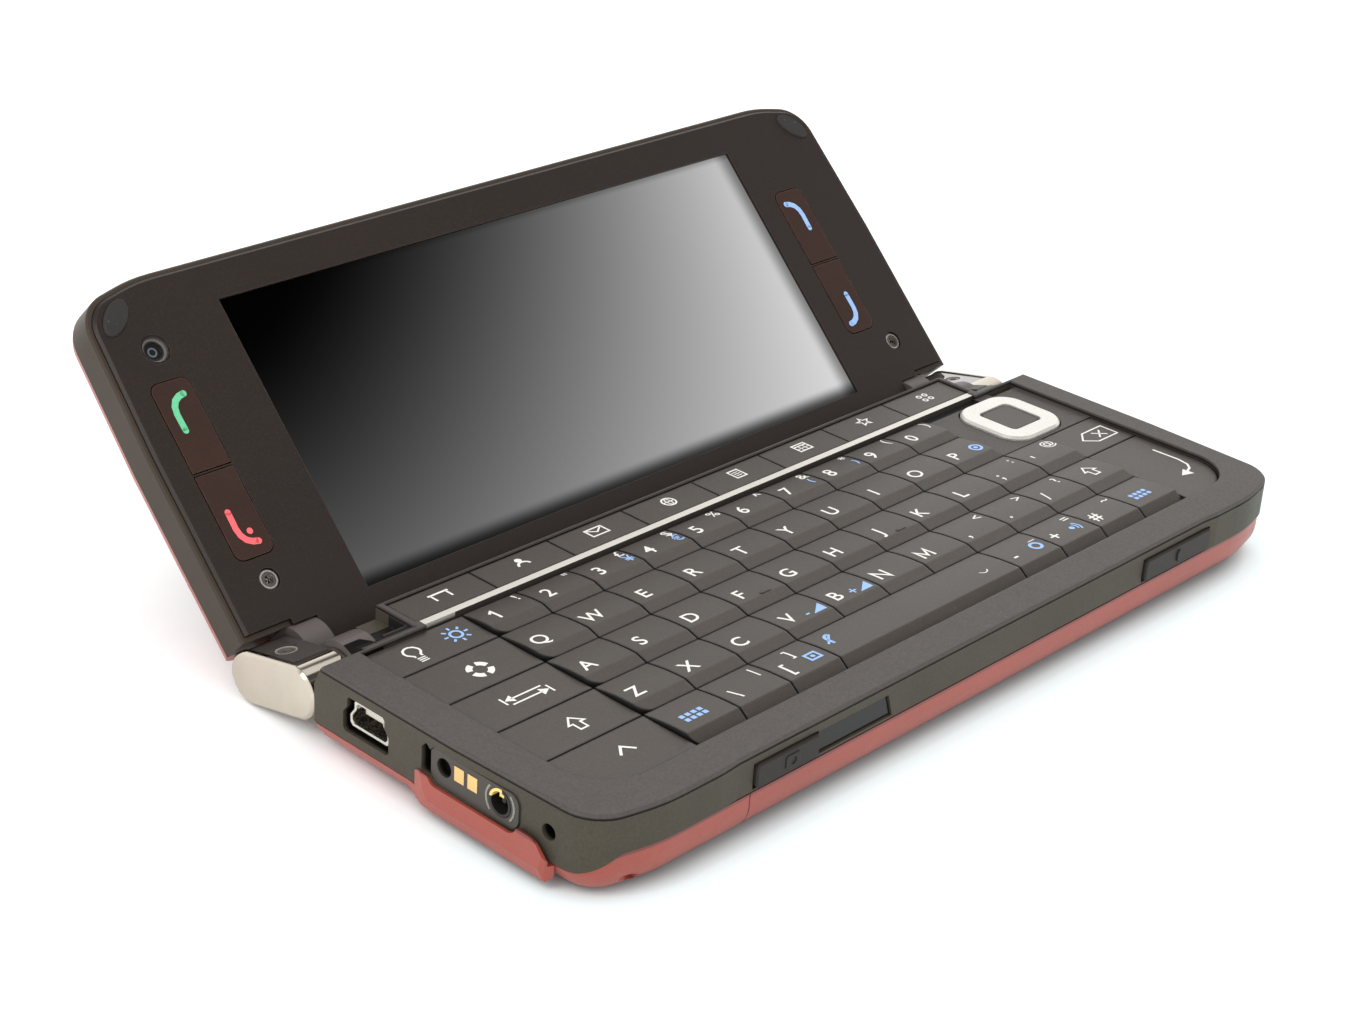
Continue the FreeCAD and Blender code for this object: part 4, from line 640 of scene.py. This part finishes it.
def glyph(text):
    """Outline of a text in its own units, as points and faces."""
    if text not in GLYPHS:
        curve = bpy.data.curves.new("glyph", "FONT")
        curve.body = text
        curve.offset = GLYPH_SPREAD
        curve.resolution_u = 5
        holder = bpy.data.objects.new("glyph", curve)
        scene.collection.objects.link(holder)
        bpy.context.view_layer.update()
        final = holder.evaluated_get(bpy.context.evaluated_depsgraph_get())
        shape = bpy.data.meshes.new_from_object(final)
        faces = [list(p.vertices) for p in shape.polygons]
        GLYPHS[text] = ([tuple(v.co[:2]) for v in shape.vertices], faces)
        bpy.data.objects.remove(holder)
        bpy.data.meshes.remove(shape)
        bpy.data.curves.remove(curve)
    return GLYPHS[text]


CAP_UNIT = max(v[1] for v in glyph("H")[0])


def around(x, y, radius, count, start=0.0):
    """Points evenly spaced on a circle, from an angle in degrees."""
    turn = 2 * math.pi / count
    angles = [math.radians(start) + i * turn for i in range(count)]
    return [(x + radius * math.cos(a), y + radius * math.sin(a)) for a in angles]


def corners(x, y, across, up):
    """Corners of a rectangle, given by its middle and its half sizes."""
    return [(x - across, y - up), (x + across, y - up), (x + across, y + up), (x - across, y + up)]


class Marks:
    """Flat shapes, gathered before they are laid on a surface."""

    def __init__(self):
        self.points = []
        self.faces = []

    def polygon(self, points):
        first = len(self.points)
        self.points += [tuple(p) for p in points]
        self.faces.append(list(range(first, first + len(points))))

    def tile(self, x, y, half):
        self.polygon(corners(x, y, half, half))

    def disc(self, x, y, radius, count=20):
        self.polygon(around(x, y, radius, count))

    def line(self, points, width=STROKE, closed=False):
        """Ribbon of even width along the points, with mitred bends."""
        spots = [Vector(p) for p in points]
        count = len(spots)
        sides = []
        for i, p in enumerate(spots):
            before = spots[i - 1] if (i or closed) else None
            after = spots[(i + 1) % count] if (i < count - 1 or closed) else None
            into = (p - before).normalized() if before is not None else (after - p).normalized()
            out = (after - p).normalized() if after is not None else into
            across = Vector((-(into.y + out.y), into.x + out.x)).normalized()
            reach = width / 2 / max(SHARPEST_MITRE, across.dot(Vector((-into.y, into.x))))
            sides.append((p + across * reach, p - across * reach))
        for i in range(count if closed else count - 1):
            a, b = sides[i], sides[(i + 1) % count]
            self.polygon([a[1], b[1], b[0], a[0]])

    def rectangle(self, x, y, across, up, width):
        """Outline of a rectangle in even strokes."""
        self.line(corners(x, y, across, up), width, closed=True)

    def arc(self, x, y, radius, start, end, width=STROKE, count=14):
        angles = [math.radians(start + (end - start) * i / count) for i in range(count + 1)]
        self.line([(x + radius * math.cos(a), y + radius * math.sin(a)) for a in angles], width)

    def ring(self, x, y, radius, width=STROKE, count=24):
        self.line(around(x, y, radius, count), width, closed=True)

    def sign(self, text, x, y, cap=CAP_HEIGHT):
        """Plain sign from the built-in typeface, centred on x with its capital height centred on y."""
        if text in STRAIGHT_SIGNS:
            half = cap / 2
            across, bends = STRAIGHT_SIGNS[text]
            self.line([(x + across * half * a, y + half * b) for a, b in bends], STRAIGHT_STROKE * cap)
            return
        verts, faces = glyph(text)
        xs = [v[0] for v in verts]
        size = cap / CAP_UNIT
        middle = (min(xs) + max(xs)) / 2
        first = len(self.points)
        self.points += [(x + (v[0] - middle) * size, y + v[1] * size - cap / 2) for v in verts]
        self.faces += [[first + i for i in f] for f in faces]


def node_tree(node):
    mesh = frame["nodes"][node].data
    verts = [v.co.copy() for v in mesh.vertices]
    return BVHTree.FromPolygons(verts, [list(p.vertices) for p in mesh.polygons])


def body_of(node):
    bodies = frame["record"]["behaviour"]["bodies"]
    return next(body for body, nodes in bodies.items() if node in nodes)


def split_small(marks):
    """The marks as small flat triangles, so that they can follow an arched key."""
    flat = bmesh.new()
    points = [flat.verts.new((x, y, 0.0)) for x, y in marks.points]
    for face in marks.faces:
        flat.faces.new([points[i] for i in face])
    bmesh.ops.triangulate(flat, faces=flat.faces[:])
    for _ in range(MOST_SPLITS):
        long_edges = [e for e in flat.edges if e.calc_length() > FILM_STEP]
        if not long_edges:
            break
        bmesh.ops.subdivide_edges(flat, edges=long_edges, cuts=1)
        bmesh.ops.triangulate(flat, faces=flat.faces[:])
    flat.verts.index_update()
    spots = [(v.co.x, v.co.y) for v in flat.verts]
    faces = [[v.index for v in f.verts] for f in flat.faces]
    flat.free()
    return spots, faces


def lay(name, marks, node, ink_used, plane=DECK):
    """Lays the marks on the node's surface as a thin film and lets them ride with it."""
    tree = node_tree(node)
    spots, faces = split_small(marks)
    verts = []
    level = None
    for x, y in spots:
        place = tree.ray_cast(plane.point(x, y, RAY_HEIGHT), -plane.normal, RAY_LENGTH_METRES)[0]
        if place is None:
            place = tree.find_nearest(plane.point(x, y, level or 0.0))[0]
        level = (place / MM - plane.origin).dot(plane.normal)
        verts.append(plane.point(x, y, level + INK_LIFT))
    mesh = bpy.data.meshes.new(name)
    mesh.from_pydata(verts, [], faces)
    mesh.materials.append(ink_used.material)
    piece = bpy.data.objects.new(name, mesh)
    scene.collection.objects.link(piece)
    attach(piece, body_of(node))


# Where the marks of a key in a row sit: from the key's middle across, and from its rear edge forward
KEY_PITCH = 8.73
MAIN_X = -1.95
SIGN_X = -2.4
MAIN_Y = -4.15
SECOND_X = 3.0
SECOND_Y = -1.75
BLUE_X = 2.2
BLUE_Y = -4.2
DIGIT_MAIN_Y = -3.1
DIGIT_SECOND_Y = -1.15
DIGIT_BLUE_Y = -3.1
DIGIT_SIDE_X = 3.25
RINGED_DOT_X = 2.6
ARROW_SPOT = (0.3, -3.2)
BRACKET_X = 0.4
TABLE_X = -0.6

# Middles of the signs on the flat keys
BULB_SPOT = (-55.5, 13.5)
SUN_SPOT = (-48.8, 13.4)
WHEEL_SPOT = (-52.2, 5.5)
TAB_SPOT = (-52.1, -2.2)
SHIFT_SPOT = (-52.1, -10.15)
CHEVRON_SPOT = (-52.0, -17.6)
BACKSPACE_SPOT = (58.8, -2.3)
ENTER_START = (60.2, -10.4)

# Signs on the space bar, from its left rear and right rear corners
SPACE_CALL_SPOT = (2.1, -2.6)
SPACE_BLANK_X = -4.2
SPACE_BLANK_Y = 0.4

# Soft keys: their pitch, and how far behind their middle the signs sit
SOFT_PITCH = 13.2
SOFT_SIGN_Y = 0.45

# Signs of the lid's four flat keys on its inner face: node, ink, place, and which way the hook turns
LID_SIGNS = (
    ("call_key", GREEN, -60.1, 32.75, 1, 1),
    ("end_key", CRIMSON, -60.15, 16.7, 1, -1),
    ("upper_option_key", BLUE, 54.05, 32.75, -1, 1),
    ("lower_option_key", BLUE, 54.0, 16.5, -1, -1),
)
END_DOT = (-58.55, 16.1)

# Signs of the outer number keys: first row's middle and the pitches
OUTER_ROWS = ("123", "456", "789", "*0#")
OUTER_MIDDLE_X = 24.5
OUTER_FIRST_Y = -29.6
OUTER_PITCH = (14.6, 8.8)


def row_places(node, count):
    """Middle of each key in a row and the row's rear edge."""
    low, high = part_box(node)
    gap = KEY_PITCH - ((high[0] - low[0]) / MM - (count - 1) * KEY_PITCH)
    start = low[0] / MM - gap / 2
    return [start + KEY_PITCH * (i + 0.5) for i in range(count)], high[1] / MM


def print_letters(marks, places, rear, letters):
    for x, letter in zip(places, letters):
        marks.sign(letter, x + MAIN_X, rear + MAIN_Y)


def print_pairs(marks, places, rear, pairs, second_x=SECOND_X):
    """A main sign and a small second one on each named key."""
    for index, first, second in pairs:
        marks.sign(first, places[index] + SIGN_X, rear + MAIN_Y)
        marks.sign(second, places[index] + second_x, rear + SECOND_Y, SMALL_CAP)


def hollow_arrow(marks, x, y, width=0.26):
    bends = [(-0.55, -1.35), (-0.55, -0.05), (-1.2, -0.05), (0, 1.35), (1.2, -0.05), (0.55, -0.05),
             (0.55, -1.35)]
    marks.line([(x + a, y + b) for a, b in bends], width, closed=True)


def handset(marks, x, y, flip_x=1, flip_y=1, size=1.0, width=0.9):
    """Hooked stroke of a call mark: a stem and a curved end."""
    bend = [(0.0, -2.4), (-0.05, -0.2), (0.12, 0.75), (0.6, 1.5), (1.35, 1.95), (2.1, 2.1)]
    marks.line([(x + flip_x * size * a, y + flip_y * size * b) for a, b in bend], width * size)
    for a, b in (bend[0], bend[-1]):
        marks.disc(x + flip_x * size * a, y + flip_y * size * b, width * size / 2)


def print_number_row():
    places, rear = row_places("number_row_keys", 10)
    white, blue = Marks(), Marks()
    for x, digit, second in zip(places, "1234567890", "!\"£$%^&*()"):
        white.sign(digit, x + MAIN_X, rear + DIGIT_MAIN_Y)
        white.sign(second, x + DIGIT_SIDE_X, rear + DIGIT_SECOND_Y, SMALL_CAP)
    y = rear + DIGIT_BLUE_Y
    for index, sign in ((2, "¥"), (3, "€")):
        blue.sign(sign, places[index] + DIGIT_SIDE_X, y, SMALL_CAP)
    for index, side in ((6, 1), (7, -1)):
        blue.arc(places[index] + DIGIT_SIDE_X + side * 0.9, y, 1.3, 90 + side * 55, 90 + side * 125, 0.25)
    lay("number_row_signs", white, "number_row_keys", WHITE)
    lay("number_row_blue_signs", blue, "number_row_keys", BLUE)


def print_letter_rows():
    places, rear = row_places("q_row_keys", 10)
    white, blue = Marks(), Marks()
    print_letters(white, places, rear, "QWERTYUIOP")
    x = places[9] + RINGED_DOT_X
    y = rear + BLUE_Y
    blue.ring(x, y, 0.85, 0.4)
    blue.disc(x, y, 0.35)
    lay("q_row_signs", white, "q_row_keys", WHITE)
    lay("q_row_blue_signs", blue, "q_row_keys", BLUE)

    places, rear = row_places("a_row_keys", 11)
    white = Marks()
    print_letters(white, places, rear, "ASDFGHJKL")
    print_pairs(white, places, rear, ((9, ";", ":"), (10, "'", "@")))
    lay("a_row_signs", white, "a_row_keys", WHITE)

    places, rear = row_places("z_row_keys", 11)
    white, blue = Marks(), Marks()
    print_letters(white, places, rear, "ZXCVBNM")
    print_pairs(white, places, rear, ((7, ",", "<"), (8, ".", ">"), (9, "/", "?")))
    hollow_arrow(white, places[10] + ARROW_SPOT[0], rear + ARROW_SPOT[1])
    for index, sign in ((3, "-"), (4, "+")):
        x = places[index] + BLUE_X
        y = rear + BLUE_Y - 0.6
        blue.sign(sign, x - 1.5, y + 0.1, SMALL_CAP)
        blue.polygon([(x - 0.8, y - 0.7), (x + 1.5, y - 0.7), (x + 1.5, y + 1.0)])
    lay("z_row_signs", white, "z_row_keys", WHITE)
    lay("z_row_blue_signs", blue, "z_row_keys", BLUE)


def table_mark(marks, x, y):
    """Table of characters: a four by two grid of small tiles."""
    for i in range(4):
        for j in range(2):
            marks.tile(x + (i - 1.5) * 0.95, y + (j - 0.5) * 0.95, 0.33)


def print_bottom_row():
    places, rear = row_places("bottom_row_keys", 11)
    white, blue = Marks(), Marks()
    print_pairs(white, places, rear, ((1, "\\", "|"),))
    print_pairs(white, places, rear, ((2, "[", "]"),), BRACKET_X)
    print_pairs(white, places, rear, ((7, "-", "_"), (8, "+", "="), (9, "#", "~")))
    for index in (0, 10):
        table_mark(blue, places[index] + TABLE_X, rear + MAIN_Y)
    y = rear + BLUE_Y
    x = places[2] + BLUE_X
    blue.rectangle(x, y, 0.85, 0.7, 0.35)
    blue.disc(x, y, 0.32)
    blue.ring(places[7] + BLUE_X, y, 0.8, 0.42)
    x = places[8] + BLUE_X - 0.9
    blue.disc(x, y, 0.42)
    for radius in (0.9, 1.4):
        blue.arc(x, y, radius, -45, 45, 0.25)
    lay("bottom_row_signs", white, "bottom_row_keys", WHITE)
    lay("bottom_row_blue_signs", blue, "bottom_row_keys", BLUE)

    low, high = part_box("space_bar")
    blue, white = Marks(), Marks()
    x = low[0] / MM + SPACE_CALL_SPOT[0]
    y = high[1] / MM + SPACE_CALL_SPOT[1]
    handset(blue, x, y, size=0.45, width=1.0)
    blue.line([(x - 0.8, y - 1.0), (x + 1.2, y + 0.8)], 0.3)
    white.arc(high[0] / MM + SPACE_BLANK_X, rear + MAIN_Y + SPACE_BLANK_Y, 0.8, 200, 340, 0.16)
    lay("space_bar_blue_sign", blue, "space_bar", BLUE)
    lay("space_bar_sign", white, "space_bar", WHITE)


def print_bulb(marks, x, y):
    right = [(0.25, 1.15), (0.8, 0.85), (1.1, 0.25), (1.02, -0.3), (0.5, -0.9), (0.5, -1.25)]
    left = [(-a, b) for a, b in reversed(right)]
    marks.line([(x + a, y + b) for a, b in left + right], 0.3)
    for k in range(3):
        marks.line([(x - 0.6, y - 1.6 - 0.38 * k), (x + 0.6, y - 1.6 - 0.38 * k)], 0.2)


def print_left_column():
    white, blue = Marks(), Marks()
    print_bulb(white, *BULB_SPOT)
    x, y = SUN_SPOT
    blue.ring(x, y, 0.78, 0.34)
    for start, end in zip(around(x, y, 1.2, 8), around(x, y, 1.8, 8)):
        blue.line([start, end], 0.32)
    lay("light_key_sign", white, "light_key", WHITE)
    lay("light_key_blue_sign", blue, "light_key", BLUE)

    white = Marks()
    for k in range(4):
        white.arc(*WHEEL_SPOT, 1.3, 14 + 90 * k, 76 + 90 * k, 0.8)
    lay("menu_key_sign", white, "menu_key", WHITE)

    white = Marks()
    x = TAB_SPOT[0]
    for side in (-1, 1):
        y = TAB_SPOT[1] - 0.55 * side
        white.line([(x + side * 3.1, y - 0.8), (x + side * 3.1, y + 0.8)], 0.26)
        white.line([(x - side * 2.6, y), (x + side * 2.0, y)], 0.26)
        back = x + side * 1.7
        white.polygon([(x + side * 2.9, y), (back, y + side * 0.75), (back, y - side * 0.75)])
    lay("tab_key_sign", white, "tab_key", WHITE)

    white = Marks()
    hollow_arrow(white, *SHIFT_SPOT)
    lay("shift_key_sign", white, "shift_key", WHITE)

    white = Marks()
    x, y = CHEVRON_SPOT
    white.line([(x - 1.2, y - 0.7), (x, y + 0.7), (x + 1.2, y - 0.7)], 0.34)
    lay("ctrl_key_sign", white, "ctrl_key", WHITE)


def print_right_keys():
    white = Marks()
    x, y = BACKSPACE_SPOT
    bends = [(-3.9, 0), (-2.1, 1.5), (2.3, 1.5), (2.3, -1.5), (-2.1, -1.5)]
    white.line([(x + a, y + b) for a, b in bends], 0.26, closed=True)
    for side in (1, -1):
        white.line([(x - 0.9, y + side * 0.8), (x + 0.9, y - side * 0.8)], 0.26)
    lay("backspace_key_sign", white, "backspace_key", WHITE)

    white = Marks()
    x, y = ENTER_START
    bends = [(0, 0), (0.15, -4.2), (-0.2, -5.9), (-1.0, -6.8), (-2.2, -7.2)]
    white.line([(x + a, y + b) for a, b in bends], 0.34)
    white.polygon([(x - 3.9, y - 7.5), (x - 1.9, y - 8.2), (x - 2.1, y - 6.4)])
    lay("enter_key_sign", white, "enter_key", WHITE)


def print_soft_keys():
    """Plain pictograms: desk, person, envelope, globe, note, calendar, star and four rings."""
    low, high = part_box("soft_keys")
    y = (low[1] + high[1]) / MM / 2 + SOFT_SIGN_Y
    desk, person, letter, globe, note, month, star, rings = [
        low[0] / MM + SOFT_PITCH * (i + 0.5) for i in range(8)]
    marks = Marks()
    marks.line([(desk - 1.6, y + 0.6), (desk + 1.6, y + 0.6)], 0.35)
    for x in (desk - 1.2, desk + 1.2):
        marks.line([(x, y + 0.6), (x, y - 0.9)], 0.3)
    marks.disc(person, y + 0.55, 0.5)
    marks.arc(person, y - 0.95, 0.95, 10, 170, 0.34)
    marks.rectangle(letter, y, 1.4, 0.9, 0.26)
    marks.line([(letter - 1.3, y + 0.8), (letter, y - 0.15), (letter + 1.3, y + 0.8)], 0.24)
    marks.ring(globe, y, 1.0, 0.26)
    marks.line([(globe - 1.0, y), (globe + 1.0, y)], 0.2)
    marks.arc(globe - 1.2, y, 1.55, -38, 38, 0.2)
    marks.arc(globe + 1.2, y, 1.55, 142, 218, 0.2)
    marks.rectangle(note, y, 0.9, 1.0, 0.26)
    for k in (-1, 0, 1):
        marks.line([(note - 0.55, y + 0.45 * k), (note + 0.55, y + 0.45 * k)], 0.18)
    marks.rectangle(month, y, 1.2, 0.95, 0.26)
    marks.line([(month - 1.1, y + 0.45), (month + 1.1, y + 0.45)], 0.26)
    for x in (month - 0.4, month + 0.4):
        marks.line([(x, y - 0.85), (x, y + 0.4)], 0.16)
    marks.line([(month - 1.1, y - 0.25), (month + 1.1, y - 0.25)], 0.16)
    tips = around(star, y, 1.15, 5, 90)
    dents = around(star, y, 0.5, 5, 126)
    marks.line([point for pair in zip(tips, dents) for point in pair], 0.22, closed=True)
    for i in (-1, 1):
        for j in (-1, 1):
            marks.ring(rings + 0.3 + 0.62 * i, y - 0.2 + 0.62 * j, 0.36, 0.24, 12)
    lay("soft_key_signs", marks, "soft_keys", WHITE)


def print_lid_keys():
    for node, colour, x, y, flip_x, flip_y in LID_SIGNS:
        marks = Marks()
        handset(marks, x, y, flip_x, flip_y, size=1.0, width=0.85)
        if node == "end_key":
            marks.disc(*END_DOT, 0.42)
        lay(node + "_sign", marks, node, colour, INNER)


def print_outer_keys():
    """Dial numbers on the keys of the outer face, read with the small display on top."""
    marks = Marks()
    for row, line in enumerate(OUTER_ROWS):
        for column, sign in enumerate(line):
            x = OUTER_MIDDLE_X + (column - 1) * OUTER_PITCH[0]
            marks.sign(sign, x, OUTER_FIRST_Y - OUTER_PITCH[1] * row, OUTER_CAP)
    lay("outer_number_signs", marks, "outer_number_keys", WHITE, OUTER)


def make_camera():
    camera = bpy.data.objects.new("camera", bpy.data.cameras.new("camera"))
    scene.collection.objects.link(camera)
    camera.data.sensor_width = CAMERA_SENSOR
    camera.data.lens = CAMERA_LENS
    camera.data.clip_start = CAMERA_NEAR
    camera.location = CAMERA_PLACE
    camera.rotation_euler = tuple(math.radians(a) for a in CAMERA_TURN_DEG)
    scene.camera = camera


def foot_distance(surface):
    """Distance from the front and the ends of the lower half's outline, less than 0 below the phone."""
    x, y, z = surface.axes()
    across = surface.maths("SUBTRACT", surface.maths("ABSOLUTE", x), FOOT_X - FOOT_CORNER)
    ahead = surface.maths("SUBTRACT", FOOT_FRONT_Y + FOOT_CORNER, y)
    wide = surface.maths("POWER", surface.maths("MAXIMUM", across, 0.0), 2.0)
    deep = surface.maths("POWER", surface.maths("MAXIMUM", ahead, 0.0), 2.0)
    outside = surface.maths("SQRT", surface.maths("ADD", wide, deep))
    inside = surface.maths("MINIMUM", surface.maths("MAXIMUM", across, ahead), 0.0)
    return surface.maths("SUBTRACT", surface.maths("ADD", outside, inside), FOOT_CORNER)


def make_floor():
    """White paper, with a painted cool tint that cancels the red light the covers throw on it, and a
    painted contact shadow where the phone nearly touches it.
    """
    bpy.ops.mesh.primitive_plane_add(size=FLOOR_SIZE, location=(0, 0, FLOOR_Z))
    floor = bpy.context.object
    floor.name = "floor"
    surface = Surface("floor_paper")
    paper = surface.blend(surface.noise(3.0, 3.0), linear("#f7f7f7"), linear("#fbfbfb"))
    off = foot_distance(surface)
    y = surface.axes()[1]
    # Painted cool tint against the red light bounced from the covers
    cool = surface.product(surface.remap(off, COOL_REACH, 1.0, 0.0), surface.remap(y, COOL_Y))
    paper = surface.blend(cool, paper, linear("#ebf7f8"))
    # Painted contact shadow under the phone's edges
    shade = surface.product(surface.remap(off, SHADE_REACH, 0.0, SHADE_DEPTH), surface.remap(y, SHADE_Y))
    paper = surface.blend(shade, paper, linear("#000000"))
    surface.set(base_color=paper, roughness=0.9, specular_ior_level=0.1)
    floor.data.materials.append(surface.material)


def area_light(name, place, aim, size, energy):
    data = bpy.data.lights.new(name, "AREA")
    data.energy = energy
    data.size = size
    light = bpy.data.objects.new(name, data)
    light.location = place
    light.rotation_euler = (Vector(aim) - Vector(place)).to_track_quat("-Z", "Y").to_euler()
    scene.collection.objects.link(light)


def make_world():
    """White surroundings. Mirrored rays find white walls, a dim ceiling and one dim panel."""
    world = bpy.data.worlds.new("studio")
    scene.world = world
    world.use_nodes = True
    tree = world.node_tree
    background = tree.nodes["Background"]
    background.inputs["Color"].default_value = (1, 1, 1, 1)
    path = add_node(tree, "LightPath")
    ray = add_node(tree, "TexCoord").outputs["Generated"]
    height = add_node(tree, "SeparateXYZ", {0: ray}).outputs[2]
    ceiling = remap(tree, height, (WALL_TOP, CEILING_START), smooth=True)
    panel = remap(tree, dot_product(tree, ray, PANEL_PLACE), (PANEL_EDGE, PANEL_CORE), smooth=True)
    seen = remap(tree, maths(tree, "MAXIMUM", ceiling, panel), (0.0, 1.0), WALL_LIGHT, CEILING_LIGHT)
    added = maths(tree, "SUBTRACT", seen, WORLD_LIGHT)
    mirrored = maths(tree, "MULTIPLY", path.outputs["Is Glossy Ray"], added)
    tree.links.new(maths(tree, "ADD", mirrored, WORLD_LIGHT), background.inputs["Strength"])


print_number_row()
print_letter_rows()
print_bottom_row()
print_left_column()
print_right_keys()
print_soft_keys()
print_lid_keys()
print_outer_keys()
make_camera()
make_floor()
make_world()
area_light("key_box", place=(-0.45, 0.0, 0.5), aim=(0, 0.01, 0.01), size=0.34, energy=1.0)
area_light("top_box", place=(0.25, 0.1, 0.8), aim=(0, 0.01, 0.0), size=0.5, energy=0.8)
scene.view_settings.view_transform = "Standard"
